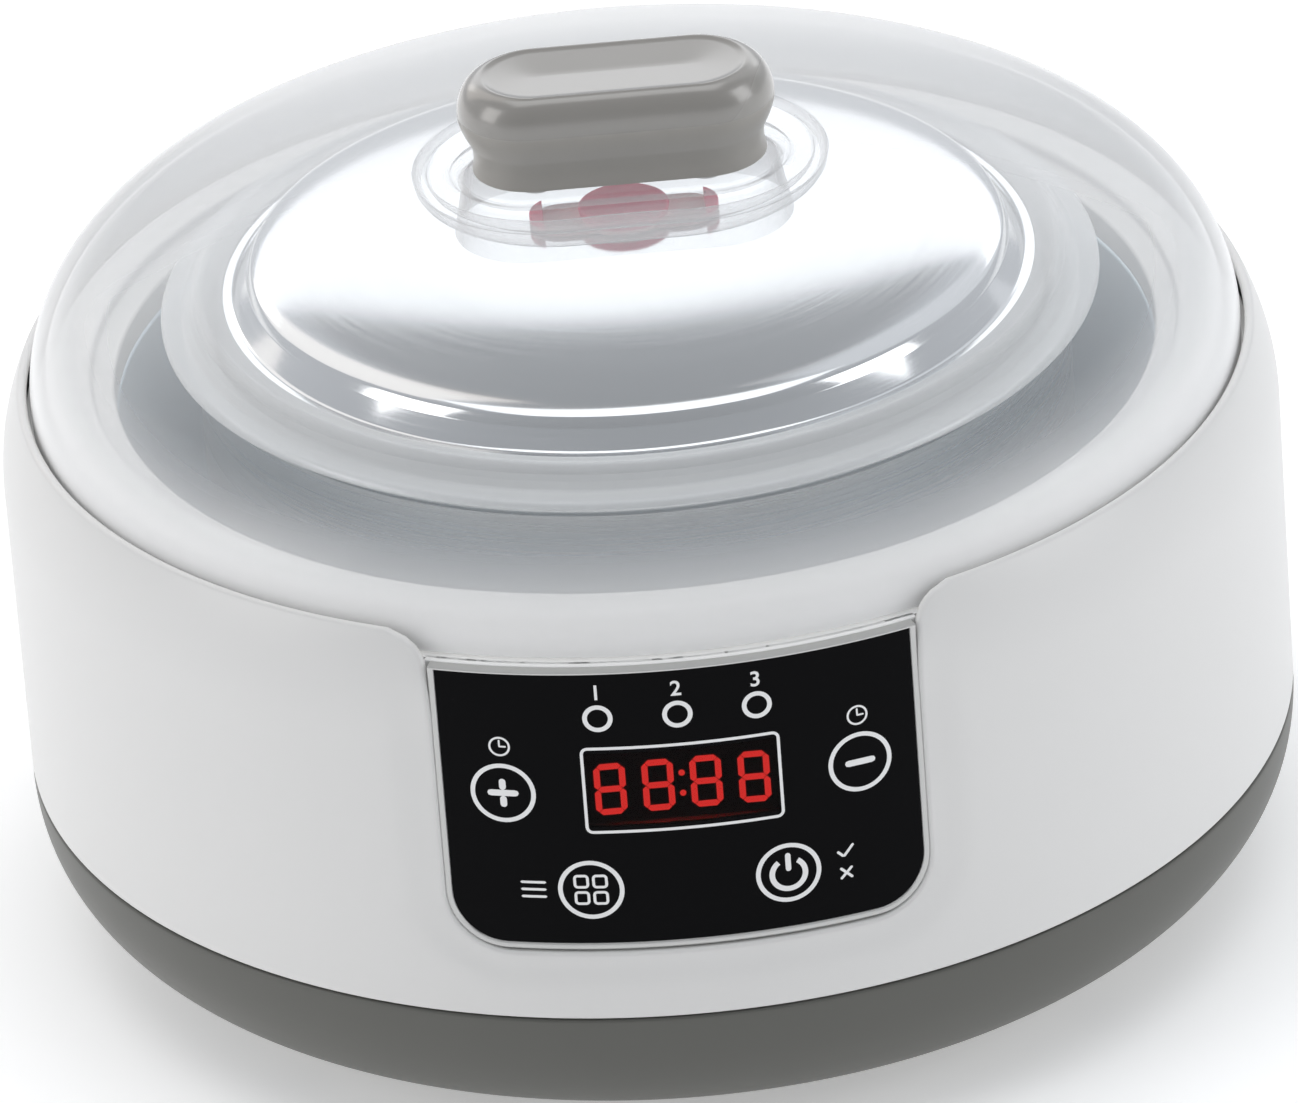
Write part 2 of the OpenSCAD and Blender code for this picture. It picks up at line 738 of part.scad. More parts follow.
// The grip's section swept round a bar with round ends
module grip_solid(side) {
    outline = concat([[0, side[0][1]]], side, [[0, side[len(side) - 1][1]]]);
    for (end = [-1, 1]) translate([end * grip_span / 2, 0, 0])
        rotate([0, 0, end * 90 - 180]) rotate_extrude(angle = 180) polygon(outline);
    translate([grip_span / 2, 0, 0]) rotate([90, 0, -90]) linear_extrude(grip_span)
        union() {
            polygon(outline);
            mirror([1, 0]) polygon(outline);
        }
}

module lid_handle() {
    color([0.58, 0.58, 0.56]) difference() {
        grip_solid(grip_side());
        for (side = [-1, 1]) translate([side * handle_screw_x, 0, grip_z - 1])
            cylinder(r = handle_screw_r, h = handle_screw_l + 1);
    }
}

module handle_cap() {
    color([0.66, 0.66, 0.64]) grip_solid(cap_side());
}

module handle_screws() {
    for (side = [-1, 1]) color(steel)
        translate([side * handle_screw_x, 0, grip_z - lid_wall - 0.2])
            screw(handle_screw_r, handle_screw_l, handle_screw_head_r, handle_screw_head_h);
}

/* Control panel */

module panel_frame() {
    color([0.78, 0.78, 0.78]) curved_plate(frame_r, plate_front) difference() {
        panel_outline();
        panel_outline(-frame_w, panel_top - frame_top_w);
    }
}

module panel_overlay() {
    color([0.05, 0.05, 0.05]) curved_plate(panel_r, overlay_back) difference() {
        panel_outline(-frame_w, panel_top - frame_top_w);
        window_outline();
    }
}

module display_window() {
    color([0.1, 0.02, 0.02, 0.6]) curved_plate(panel_r, overlay_back) window_outline();
}

module panel_carrier() {
    top = shoulder_z - 6;
    color([0.85, 0.85, 0.85]) difference() {
        union() {
            curved_plate(plate_front, plate_back) {
                panel_outline(0, carrier_top);
                panel_outline(carrier_lip, top);
            }
            // lip that bears on the inside of the shell
            curved_plate(shell_inner_r, plate_front - tiny) difference() {
                panel_outline(carrier_lip, top);
                panel_outline(opening_gap, rim_z);
            }
            // platform behind the overlay
            curved_plate(overlay_back, plate_front - tiny)
                panel_outline(-frame_w - 0.1, carrier_top);
            // bosses for the control board
            intersection() {
                cylinder(r = plate_front, h = rim_z);
                control_board_holes() cylinder(r = 2.4, h = plate_front);
            }
        }
        // the bosses end at the board
        translate([-body_r, board_front, 0]) cube([2 * body_r, body_r, rim_z]);
        control_board_holes() cylinder(r = bowl_screw_r, h = -board_front + 5);
        frontwards(body_r / 2, body_r) {
            window_outline(display_w + 0.6, display_h + 0.6);
            for (p = key_places) translate(p) circle(key_r + fit);
            for (x = lamp_xs) translate([x, lamp_z]) circle(lamp_d / 2 + 0.1);
        }
        for (p = key_places) frontwards(body_r / 2, -key_back + key_rim_t + skin + 2)
            translate(p) circle(key_r + key_rim + fit);
    }
}

// Places a vertical axis along the front direction at each of the board's corners
module control_board_holes() {
    for (x = [-1, 1], z = [board_z0 + 2.2, board_z1 - 2.2])
        translate([x * (board_w / 2 - 3), 0, z]) rotate([90, 0, 0]) children();
}

module key(place) {
    color([0.3, 0.3, 0.3]) intersection() {
        cylinder(r = overlay_back - skin, h = rim_z);
        translate([place[0], key_back, place[1]]) rotate([90, 0, 0]) union() {
            cylinder(r = key_r + key_rim, h = key_rim_t);
            cylinder(r = key_r, h = 30);
        }
    }
}

module time_up_key() { key(key_places[0]); }
module time_down_key() { key(key_places[1]); }
module function_key() { key(key_places[2]); }
module power_key() { key(key_places[3]); }

module control_board() {
    color([0.1, 0.4, 0.2]) difference() {
        translate([-board_w / 2, board_front, board_z0])
            cube([board_w, board_t, board_z1 - board_z0]);
        control_board_holes() cylinder(r = bowl_screw_r, h = 2 * body_r);
    }
}

module key_switches() {
    color([0.15, 0.15, 0.15]) for (p = key_places)
        translate([p[0], board_front, p[1]]) rotate([90, 0, 0]) {
            translate([-switch_w / 2, -switch_w / 2, 0]) cube([switch_w, switch_w, switch_h]);
            cylinder(r = stem_r, h = switch_h + stem_h);
        }
}

module display_module() {
    color([0.1, 0.1, 0.1]) {
        translate([-display_w / 2, display_front, window_z - display_h / 2])
            cube([display_w, display_t, display_h]);
        translate([-display_w / 2 + 1, display_front + display_t - tiny, window_z - display_h / 2 + 1])
            cube([display_w - 2, board_front - display_front - display_t + tiny, display_h - 2]);
    }
}

// One bar of a digit, a long hexagon along X about its middle
module segment(length) {
    h = segment_w / 2;
    polygon([[-length / 2, 0], [-length / 2 + h, h], [length / 2 - h, h],
        [length / 2, 0], [length / 2 - h, -h], [-length / 2 + h, -h]]);
}

module digit() {
    across = digit_w - segment_w - 0.2;
    up = (digit_h - segment_w) / 2 - 0.2;
    half = (digit_h - segment_w) / 4;
    for (z = [-2, 0, 2]) translate([0, z * half]) segment(across);
    for (x = [-1, 1], z = [-1, 1])
        translate([x * (digit_w - segment_w) / 2, z * half]) rotate(90) segment(up);
}

module display_digits() {
    color([0.95, 0.12, 0.12]) frontwards(-display_front, -display_front + digit_t)
        translate([0, digit_z]) {
            for (i = [0 : 3]) translate([(i - 1.5) * digit_pitch, 0]) digit();
            for (z = [-1, 1]) translate([0, z * digit_h * 0.2]) circle(d = segment_w);
        }
}

module program_lamps() {
    leads = 1.27;
    color([0.9, 0.9, 0.85]) for (x = lamp_xs) translate([x, 0, lamp_z]) rotate([90, 0, 0]) {
        translate([0, 0, lamp_front - lamp_h]) {
            cylinder(d = lamp_d, h = lamp_h - lamp_d / 2 - 0.5);
            translate([0, 0, lamp_h - lamp_d / 2 - 0.5]) intersection() {
                sphere(d = lamp_d);
                cylinder(d = lamp_d + 1, h = lamp_d);
            }
        }
        for (side = [-1, 1]) translate([side * leads / 2, 0, -board_front])
            cylinder(r = 0.25, h = lamp_front - lamp_h + board_front + tiny);
    }
}

module buzzer() {
    color([0.12, 0.12, 0.12]) translate([0, board_front, low_key_z + 2]) rotate([90, 0, 0])
        difference() {
            cylinder(d = 9, h = 4.5);
            translate([0, 0, 3]) cylinder(d = 2, h = 3);
        }
}

module board_screws() {
    color(steel) {
        power_posts() translate([0, 0, board_t + power_z - floor_top + 1])
            mirror([0, 0, 1]) screw(screw_r - 0.3, board_t + 2.4, 2.2, 1.3);
        control_board_holes() translate([0, 0, -board_front - board_t])
            screw(bowl_screw_r, board_t + 3.5, 2.2, 1.3);
    }
}

/* Heating and supply */

module heater_pad() {
    color([0.75, 0.35, 0.15]) ring(heater_r, heater_hole_r, heater_z, bowl_bottom_z);
}

module temperature_sensor() {
    color([0.8, 0.7, 0.4]) translate([0, 0, bowl_bottom_z - sensor_h]) {
        cylinder(r = sensor_r, h = sensor_h);
        translate([0, 0, sensor_h - 1]) cylinder(r = sensor_r + 2, h = 1);
    }
}

// A strap bent over a round piece: feet on the surface above, saddle below
module strap(depth, half, foot, width) {
    for (side = [-1, 1]) {
        translate([side * (half + foot / 2), 0, -strap_t / 2])
            cube([foot + tiny, width, strap_t], center = true);
        translate([side * (half + strap_t / 2), 0, -(depth + strap_t) / 2])
            cube([strap_t, width, depth + strap_t], center = true);
    }
    translate([0, 0, -depth - strap_t / 2])
        cube([2 * half + tiny, width, strap_t], center = true);
}

module sensor_bracket() {
    color(steel) translate([0, 0, bowl_bottom_z])
        strap(sensor_h, sensor_r + 4, 6, 7);
}

module thermal_fuse() {
    color([0.85, 0.85, 0.8]) translate([0, fuse_y, heater_z - fuse_r]) rotate([0, 90, 0]) {
        translate([0, 0, -fuse_l / 2]) cylinder(r = fuse_r, h = fuse_l);
        translate([0, 0, -fuse_l / 2 - 6]) cylinder(r = 0.5, h = fuse_l + 12);
    }
}

module fuse_clip() {
    color(steel) translate([0, fuse_y, heater_z]) rotate(90)
        strap(2 * fuse_r, fuse_r + 0.3, 4, 6);
}

module power_board() {
    color([0.7, 0.6, 0.3]) difference() {
        translate([-power_w / 2, -power_d / 2, power_z]) cube([power_w, power_d, board_t]);
        power_posts() cylinder(r = screw_r - 0.3, h = 10);
    }
}

module relay() {
    color([0.15, 0.3, 0.6]) translate([-24, -16, power_top]) cube([15, 10, 8]);
}

module film_capacitor() {
    color([0.85, 0.7, 0.1]) translate([6, 8, power_top]) cube([18, 6, 8]);
}

module supply_capacitor() {
    r = 3.5;
    color([0.2, 0.2, 0.5]) translate([8, -12, power_top + r]) rotate([0, 90, 0])
        cylinder(r = r, h = 12);
}

module inlet_socket() {
    color([0.12, 0.12, 0.12]) difference() {
        union() {
            translate([-inlet_w / 2, inlet_back, inlet_z - inlet_h / 2])
                cube([inlet_w, inlet_face - inlet_back, inlet_h]);
            // flange that bears on the inside of the shell
            intersection() {
                cylinder(r = shell_inner_r, h = rim_z);
                translate([-inlet_w / 2 - 3, shell_inner_r - 3, inlet_z - inlet_h / 2 - 2])
                    cube([inlet_w + 6, 10, inlet_h + 4]);
            }
        }
        for (side = [-1, 1]) translate([side * pin_pitch / 2, inlet_face + 1, inlet_z])
            rotate([90, 0, 0]) cylinder(r = recess_r, h = inlet_depth + 1);
        translate([-pin_pitch / 2, inlet_face - inlet_depth, inlet_z - recess_r])
            cube([pin_pitch, inlet_depth + 1, 2 * recess_r]);
        // slots for the terminals
        inlet_tabs();
        for (side = [-1, 1]) translate([side * pin_pitch / 2, inlet_face, inlet_z])
            rotate([90, 0, 0]) cylinder(d = pin_d, h = inlet_depth + 1.6);
    }
}

module inlet_tabs() {
    for (side = [-1, 1])
        translate([side * pin_pitch / 2 - 1.2, inlet_face - inlet_depth - 1.6,
            inlet_z - inlet_h / 2 - 4])
            cube([2.4, 0.8, inlet_h / 2 + 4]);
}

module inlet_pins() {
    color([0.8, 0.75, 0.5]) {
        for (side = [-1, 1]) translate([side * pin_pitch / 2, inlet_face - 2.5, inlet_z])
            rotate([90, 0, 0]) cylinder(d = pin_d, h = inlet_depth - 2.5 + 1.6);
        inlet_tabs();
    }
}

module mains_leads() {
    y = inlet_face - inlet_depth - 1.2;
    color([0.3, 0.3, 0.3]) for (side = [-1, 1])
        wire_path([[side * pin_pitch / 2, y, inlet_z - inlet_h / 2 - 4],
            [side * pin_pitch / 2, y, power_top + 5.4], [side * pin_pitch / 2, 40, power_top + 3.4],
            [side * pin_pitch / 2, power_d / 2 - 3, power_top + lead_rise],
            [side * pin_pitch / 2, power_d / 2 - 3, power_top]]);
}

module heater_leads() {
    color([0.8, 0.2, 0.2]) for (side = [-1, 1])
        wire_path([[side * heater_lead_x, -power_d / 2 + 3, power_top],
            [side * heater_lead_x, -power_d / 2 + 3, power_top + lead_rise],
            [side * heater_lead_x, -power_d / 2 - 10, heater_z - lead_rise],
            [side * heater_lead_x, -power_d / 2 - 10, heater_z]], 0.8);
}

// Flat cable from the control board down and in to the power board
module panel_cable() {
    w = 12;
    t = 0.8;
    y = board_front + 0.3;
    low = 13;
    color([0.75, 0.75, 0.75]) {
        translate([-w / 2, y, low]) cube([w, t, board_z0 - low]);
        translate([-w / 2, y, low]) cube([w, -y - power_d / 2 + 3, t]);
        translate([-w / 2, -power_d / 2 + 3 - t, power_top]) cube([w, t, low + t - power_top]);
    }
}

base_cover();
outer_shell();
upper_deck();
heating_bowl();
bowl_gasket();
rubber_feet();
casing_screws();
bowl_screws();
inner_pot();
pot_lid();
pot_lid_dome();
pot_lid_seal();
vent_plug();
outer_lid();
lid_handle();
handle_cap();
handle_screws();
panel_frame();
panel_overlay();
display_window();
panel_carrier();
time_up_key();
time_down_key();
function_key();
power_key();
control_board();
key_switches();
display_module();
display_digits();
program_lamps();
buzzer();
board_screws();
heater_pad();
temperature_sensor();
sensor_bracket();
thermal_fuse();
fuse_clip();
power_board();
relay();
film_capacitor();
supply_capacitor();
inlet_socket();
inlet_pins();
mains_leads();
heater_leads();
panel_cable();
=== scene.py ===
"""Yogurt maker: finished pieces, materials and a studio round the fixed frame."""

import json
import math

import bmesh
import bpy
from mathutils import Matrix, Vector


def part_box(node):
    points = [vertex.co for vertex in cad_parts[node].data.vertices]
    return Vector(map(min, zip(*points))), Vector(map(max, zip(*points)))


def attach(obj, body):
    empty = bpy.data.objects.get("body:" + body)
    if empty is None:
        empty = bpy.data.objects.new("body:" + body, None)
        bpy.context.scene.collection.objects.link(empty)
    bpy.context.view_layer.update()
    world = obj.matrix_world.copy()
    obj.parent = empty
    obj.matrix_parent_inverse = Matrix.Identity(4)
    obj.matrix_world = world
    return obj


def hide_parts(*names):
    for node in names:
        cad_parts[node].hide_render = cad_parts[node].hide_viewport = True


bl_info = {
    "name": "Yogurt Maker",
    "version": (1, 0, 0),
    "blender": (4, 5, 0),
    "location": "3D View > Sidebar > Yogurt Maker",
    "description": "Models and finishes a round yogurt maker round its fixed frame",
    "category": "Object",
}

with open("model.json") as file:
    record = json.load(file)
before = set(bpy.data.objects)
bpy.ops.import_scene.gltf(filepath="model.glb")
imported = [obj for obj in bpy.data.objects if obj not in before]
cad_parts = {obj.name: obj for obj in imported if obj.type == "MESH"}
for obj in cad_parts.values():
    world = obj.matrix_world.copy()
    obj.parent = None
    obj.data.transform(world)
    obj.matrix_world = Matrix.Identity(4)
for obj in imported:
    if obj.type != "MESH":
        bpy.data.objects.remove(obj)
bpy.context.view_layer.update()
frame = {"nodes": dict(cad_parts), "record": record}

MM = 0.001
LATHE_STEPS = 288


def corners_mm(node):
    """Lowest and highest corner of a fixed node, in millimetres."""
    low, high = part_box(node)
    return Vector(low) / MM, Vector(high) / MM


SHELL_LOW, SHELL_HIGH = corners_mm("outer_shell")
BASE_LOW = corners_mm("base_cover")[0]
DECK_HIGH = corners_mm("upper_deck")[1]
BOWL_LOW, BOWL_HIGH = corners_mm("heating_bowl")
POT_LOW, POT_HIGH = corners_mm("inner_pot")
POT_LID_LOW, POT_LID_HIGH = corners_mm("pot_lid")
DOME_LOW, DOME_HIGH = corners_mm("pot_lid_dome")
PLUG_LOW, PLUG_HIGH = corners_mm("vent_plug")
LID_LOW, LID_HIGH = corners_mm("outer_lid")
GRIP_LOW, GRIP_HIGH = corners_mm("lid_handle")
CAP_HIGH = corners_mm("handle_cap")[1]
FRAME_LOW, FRAME_HIGH = corners_mm("panel_frame")
OVERLAY_LOW = corners_mm("panel_overlay")[0]
WINDOW_LOW, WINDOW_HIGH = corners_mm("display_window")
INLET_LOW, INLET_HIGH = corners_mm("inlet_socket")

# Radii and heights that several pieces share, in millimetres
BODY_R = SHELL_HIGH.x
JOINT_Z = SHELL_LOW.z
RIM_Z = SHELL_HIGH.z
SKIRT_R = LID_HIGH.x
SEAT_Z = LID_LOW.z - 0.3
PANEL_R = -OVERLAY_LOW.y
BOWL_INNER_R = 85.0
POT_PLUG_R = 69.2
WELL_CIRCLE_R = 92
WELL_R = 3.5
FRAME_WIDTH = 1.15
PLATE_TOP = DOME_HIGH.z + 0.8

# The frame's upper edge is narrower than the rest by this share
FRAME_TOP_SHARE = 0.27

# Shares of the grip's height at which its waist ends and its cap starts
WAIST_TOP = 0.3
CAP_SPLIT = 0.62


# Sizes and colours that a user would change


def length_property(name, description, default, low, high):
    """A length that a user can set; the numbers are in millimetres."""
    return bpy.props.FloatProperty(
        name=name, description=description, default=default * MM,
        min=low * MM, max=high * MM, unit="LENGTH")


def angle_property(name, description, degrees):
    return bpy.props.FloatProperty(
        name=name, description=description, default=math.radians(degrees), unit="ROTATION")


def colour_property(name, description, default):
    return bpy.props.FloatVectorProperty(
        name=name, description=description, default=default,
        size=3, min=0, max=1, subtype="COLOR")


class BodySizes(bpy.types.PropertyGroup):
    """Forms of the casing that the frame doesn't give."""

    flat_radius: length_property(
        "Flat underside", "Radius of the base's flat underside", 73, 60, 80)
    base_power: bpy.props.FloatProperty(
        name="Base roundness", description="Power of the base's superellipse side",
        default=2.3, min=2.0, max=4.0)
    shoulder_radius: length_property(
        "Shoulder radius", "Radius of the shell's shoulder", 37, 20, 60)
    shoulder_height: length_property(
        "Shoulder height", "Height of the shell's shoulder", 16, 10, 30)
    edge_radius: length_property(
        "Edge radius", "Radius of the shell's free edge", 0.9, 0.2, 2)
    panel_dip: length_property(
        "Dip round the panel", "Depth of the soft dip round the panel", 1.0, 0, 2)


class LidSizes(bpy.types.PropertyGroup):
    """Forms of the outer lid that the frame doesn't give."""

    shoulder_radius: length_property(
        "Lid shoulder", "Radius of the outer lid's shoulder", 21.8, 10, 40)
    dome_radius: length_property("Lid dome", "Radius of the outer lid's dome", 220, 150, 400)
    wall: length_property("Lid wall", "Wall of the outer lid", 2.2, 1, 4)
    recess_length: length_property(
        "Recess length", "Length of the recess under the grip", 65.4, 60, 80)
    recess_width: length_property(
        "Recess width", "Width of the recess under the grip", 48, 40, 60)
    recess_depth: length_property(
        "Recess depth", "Depth of the recess below the dome's top", 4.7, 3, 10)
    plug_clearance: length_property(
        "Plug clearance", "Room between the vent plug and the recess", 4.4, 2, 8)


class Colours(bpy.types.PropertyGroup):
    """Colours of the pieces that show."""

    shell: colour_property("Shell", "Colour of the satin white casing", (0.73, 0.725, 0.715))
    deck: colour_property("Deck", "Colour of the white deck", (0.88, 0.88, 0.87))
    base: colour_property("Base", "Colour of the grey base", (0.103, 0.103, 0.092))
    lid: colour_property("Outer lid", "Colour of the frosted lid", (0.76, 0.765, 0.77))
    rim: colour_property("Pot lid rim", "Colour of the milky rim", (0.82, 0.84, 0.85))
    steel: colour_property("Steel", "Colour of the stainless pieces", (0.72, 0.74, 0.76))
    # bowl: painted light, its light blue stands in for the light through the lids and the cool room
    # mirrored in its metal
    bowl: colour_property("Bowl", "Colour of the heating bowl", (0.74, 0.89, 1.0))
    plug: colour_property("Plug", "Colour of the vent plug", (0.85, 0.08, 0.2))
    plate: colour_property("Plug plate", "Colour of the plug's thin plate", (0.86, 0.50, 0.52))
    grip: colour_property("Grip", "Colour of the grip", (0.42, 0.40, 0.37))
    panel: colour_property("Panel", "Colour of the glossy panel", (0.002, 0.002, 0.0025))
    ink: colour_property("Ink", "Colour of the printed marks", (0.85, 0.85, 0.85))
    digits: colour_property("Digits", "Colour of the lit digits", (1.0, 0.04, 0.035))


class StageSettings(bpy.types.PropertyGroup):
    """Camera and light."""

    azimuth: angle_property("Azimuth", "Camera's angle round the object", -1.25)
    elevation: angle_property("Elevation", "Camera's angle above the floor", 28.327)
    roll: angle_property("Roll", "Camera's turn about its own axis", 4.421)
    distance: bpy.props.FloatProperty(
        name="Distance", description="Camera's distance from its aim",
        default=2.1, min=0.5, max=10, unit="LENGTH")
    lens: bpy.props.FloatProperty(
        name="Lens", description="Camera's focal length in millimetres",
        default=350.2, min=20, max=1000)


# Outlines


def arc(centre, radius, start, end, steps=8):
    """Points on an arc about centre; angles in degrees."""
    turns = [math.radians(start + (end - start) * i / steps) for i in range(steps + 1)]
    return [(centre[0] + radius * math.cos(t), centre[1] + radius * math.sin(t)) for t in turns]


def rounded(corners, closed=False, steps=5):
    """Points of a line through corners (x, y, radius), each turned on its radius."""
    points = []
    count = len(corners)
    for i, (x, y, radius) in enumerate(corners):
        corner = Vector((x, y))
        end = not closed and i in (0, count - 1)
        if radius == 0 or end:
            points.append((x, y))
            continue
        before = (Vector(corners[i - 1][:2]) - corner).normalized()
        after = (Vector(corners[(i + 1) % count][:2]) - corner).normalized()
        half = before.angle(after) / 2
        centre = corner + (before + after).normalized() * radius / math.sin(half)
        reach = radius / math.tan(half)
        first = corner + before * reach - centre
        last = corner + after * reach - centre
        start = math.atan2(first.y, first.x)
        sweep = (math.atan2(last.y, last.x) - start + math.pi) % (2 * math.pi) - math.pi
        for k in range(steps + 1):
            turn = start + sweep * k / steps
            points.append((centre.x + radius * math.cos(turn), centre.y + radius * math.sin(turn)))
    return points


def stadium(length, width, share):
    """Point on a bar outline with round ends, at a share of its way round from +X."""
    radius = width / 2
    span = length - width
    way = (share % 1.0) * (2 * span + 2 * math.pi * radius)
    quarter = math.pi * radius / 2
    if way < quarter:
        turn = way / radius
        return span / 2 + radius * math.cos(turn), radius * math.sin(turn)
    way -= quarter
    if way < span:
        return span / 2 - way, radius
    way -= span
    if way < 2 * quarter:
        turn = math.pi / 2 + way / radius
        return -span / 2 + radius * math.cos(turn), radius * math.sin(turn)
    way -= 2 * quarter
    if way < span:
        return -span / 2 + way, -radius
    turn = (way - span) / radius - math.pi / 2
    return span / 2 + radius * math.cos(turn), radius * math.sin(turn)


def stadium_ring(length, width, z, shares):
    """Points in metres round a bar outline at a height, at the given shares of the way."""
    return [Vector((*stadium(length, width, share), z)) * MM for share in shares]


def stadium_share(x, y, length, width):
    """Share of the way round a bar outline at which (x, y) lies."""
    radius = width / 2
    span = length - width
    total = 2 * span + 2 * math.pi * radius
    quarter = math.pi * radius / 2
    if x > span / 2:
        turn = math.atan2(y, x - span / 2)
        return (turn * radius / total) % 1.0
    if x < -span / 2:
        turn = math.atan2(y, x + span / 2) % (2 * math.pi)
        return (quarter + span + (turn - math.pi / 2) * radius) / total
    if y > 0:
        return (quarter + span / 2 - x) / total
    return (3 * quarter + span + span / 2 + x) / total


def smooth_step(value):
    value = max(0.0, min(1.0, value))
    return value * value * (3 - 2 * value)


# Meshes


def lathe(profile, closed=False, steps=LATHE_STEPS):
    """A skin turned about Z from a profile of (radius, height) in millimetres."""
    mesh = bmesh.new()
    verts = [mesh.verts.new((r * MM, 0, z * MM)) for r, z in profile]
    pairs = list(zip(verts, verts[1:])) + ([(verts[-1], verts[0])] if closed else [])
    edges = [mesh.edges.new(pair) for pair in pairs]
    bmesh.ops.spin(mesh, geom=verts + edges, axis=(0, 0, 1), cent=(0, 0, 0), dvec=(0, 0, 0),
                   angle=2 * math.pi, steps=steps, use_merge=True)
    bmesh.ops.remove_doubles(mesh, verts=mesh.verts, dist=0.001 * MM)
    bmesh.ops.recalc_face_normals(mesh, faces=mesh.faces)
    return mesh


def turn_outward(mesh, axis):
    """Turns an open skin the right way round, judged by its furthest face along an axis."""
    furthest = max(mesh.faces, key=lambda face: face.calc_center_median()[axis])
    if furthest.normal[axis] < 0:
        bmesh.ops.reverse_faces(mesh, faces=mesh.faces)


def extrude_ring(mesh, ring, places):
    """Extrudes a closed ring of vertices to new places and returns the new ring."""
    edges = [mesh.edges.get((ring[i - 1], ring[i])) for i in range(len(ring))]
    made = bmesh.ops.extrude_edge_only(mesh, edges=edges)["geom"]
    old = set(ring)
    partner = {}
    for vert in made:
        if isinstance(vert, bmesh.types.BMVert):
            for edge in vert.link_edges:
                if edge.other_vert(vert) in old:
                    partner[edge.other_vert(vert)] = vert
    fresh = [partner[vert] for vert in ring]
    for vert, place in zip(fresh, places):
        vert.co = place
    return fresh


def stack(rings, close_ends=False, tube=False):
    """A skin through rings of points in metres, each extruded from the last."""
    mesh = bmesh.new()
    ring = [mesh.verts.new(point) for point in rings[0]]
    for i in range(len(ring)):
        mesh.edges.new((ring[i - 1], ring[i]))
    first = ring
    for places in rings[1:]:
        ring = extrude_ring(mesh, ring, places)
    if close_ends:
        for end in (first, ring):
            mesh.faces.new(end)
    if tube:
        for i in range(len(ring)):
            mesh.faces.new((ring[i - 1], ring[i], first[i], first[i - 1]))
    bmesh.ops.remove_doubles(mesh, verts=mesh.verts, dist=0.0005 * MM)
    bmesh.ops.recalc_face_normals(mesh, faces=mesh.faces)
    return mesh


def free_rings(mesh):
    """The skin's free edges, each as an ordered ring of vertices.

    A ring runs against the winding of the faces beside it, so that a face made on it
    looks the same way as they do. The edges wait in the mesh's own order, which a set
    wouldn't keep, so that every run gives the same rings.
    """
    waiting = dict.fromkeys(edge for edge in mesh.edges if edge.is_boundary)
    rings = []
    while waiting:
        edge = next(iter(waiting))
        del waiting[edge]
        start = edge.link_loops[0].vert
        ring = [edge.other_vert(start), start]
        while True:
            step = next((e for e in ring[-1].link_edges if e in waiting), None)
            if step is None:
                break
            del waiting[step]
            ring.append(step.other_vert(ring[-1]))
        if ring[0] is ring[-1]:
            ring.pop()
        rings.append(ring)
    return rings


def trim(mesh, distance, lift, reach):
    """Cuts away the part of a skin where distance(co) is negative.

    Edges that cross the line have their nearer end moved on to it; lift puts a
    moved point back on the skin.
    """
    near = [f for f in mesh.faces if min(abs(distance(v.co)) for v in f.verts) < reach]
    bmesh.ops.triangulate(mesh, faces=near)
    step = 0.01 * MM
    on_line = {}
    for edge in mesh.edges[:]:
        ends = [(distance(v.co), v) for v in edge.verts]
        if ends[0][0] * ends[1][0] >= 0 or any(v in on_line for v in edge.verts):
            continue
        vert = min(ends, key=lambda end: abs(end[0]))[1]
        for _ in range(3):
            here = distance(vert.co)
            slope = Vector([
                (distance(vert.co + Vector(axis) * step) - here) / step
                for axis in ((1, 0, 0), (0, 1, 0), (0, 0, 1))])
            if slope.length > 0:
                vert.co = lift(vert.co - slope * here / slope.length_squared)
        on_line[vert] = True
    gone = [f for f in mesh.faces if distance(f.calc_center_median()) < 0]
    bmesh.ops.delete(mesh, geom=gone, context="FACES")
    edge_verts = [v for v in on_line if v.is_valid]
    bmesh.ops.remove_doubles(mesh, verts=edge_verts, dist=0.25 * MM)


def roll_edge(mesh, ring, radius, depth, sweep=90, steps=4):
    """Turns a free edge over on a round of sweep degrees, then carries it on by depth."""
    mesh.normal_update()
    sides = []
    count = len(ring)
    for i, vert in enumerate(ring):
        along = ring[(i + 1) % count].co - ring[i - 1].co
        out = along.cross(vert.normal).normalized()
        middle = Vector()
        for face in vert.link_faces:
            middle += (face.calc_center_median() - vert.co) / len(vert.link_faces)
        if out.dot(middle) > 0:
            out.negate()
        sides.append((vert.co.copy(), out, -vert.normal))
    end = math.radians(sweep)
    for k in range(1, steps + 1):
        turn = end * k / steps
        ring = extrude_ring(mesh, ring, [
            co + out * radius * math.sin(turn) + into * radius * (1 - math.cos(turn))
            for co, out, into in sides])
    if depth > 0:
        ring = extrude_ring(mesh, ring, [
            vert.co + (out * math.cos(end) + into * math.sin(end)) * depth
            for vert, (_, out, into) in zip(ring, sides)])
    return ring


def flat_plate(outline, holes=(), stride=2.0):
    """A flat face in X and Z, in strips that can be bent round the body."""
    mesh = bmesh.new()
    mesh.faces.new([mesh.verts.new((x, 0, z)) for x, z in outline])
    cuts = [(x, 0) for hole in holes for x in (hole[0], hole[2])]
    reach = max(abs(x) for x, _ in outline)
    cuts += [(i * stride, 0) for i in range(-int(reach / stride), int(reach / stride) + 1)]
    planes = [((x, 0, 0), (1, 0, 0)) for x, _ in cuts]
    planes += [((0, 0, z), (0, 0, 1)) for hole in holes for z in (hole[1], hole[3])]
    for place, normal in planes:
        bmesh.ops.bisect_plane(mesh, geom=mesh.verts[:] + mesh.edges[:] + mesh.faces[:],
                               dist=1e-4, plane_co=place, plane_no=normal)
    gone = []
    for face in mesh.faces:
        middle = face.calc_center_median()
        if any(h[0] < middle.x < h[2] and h[1] < middle.z < h[3] for h in holes):
            gone.append(face)
    bmesh.ops.delete(mesh, geom=gone, context="FACES")
    return mesh


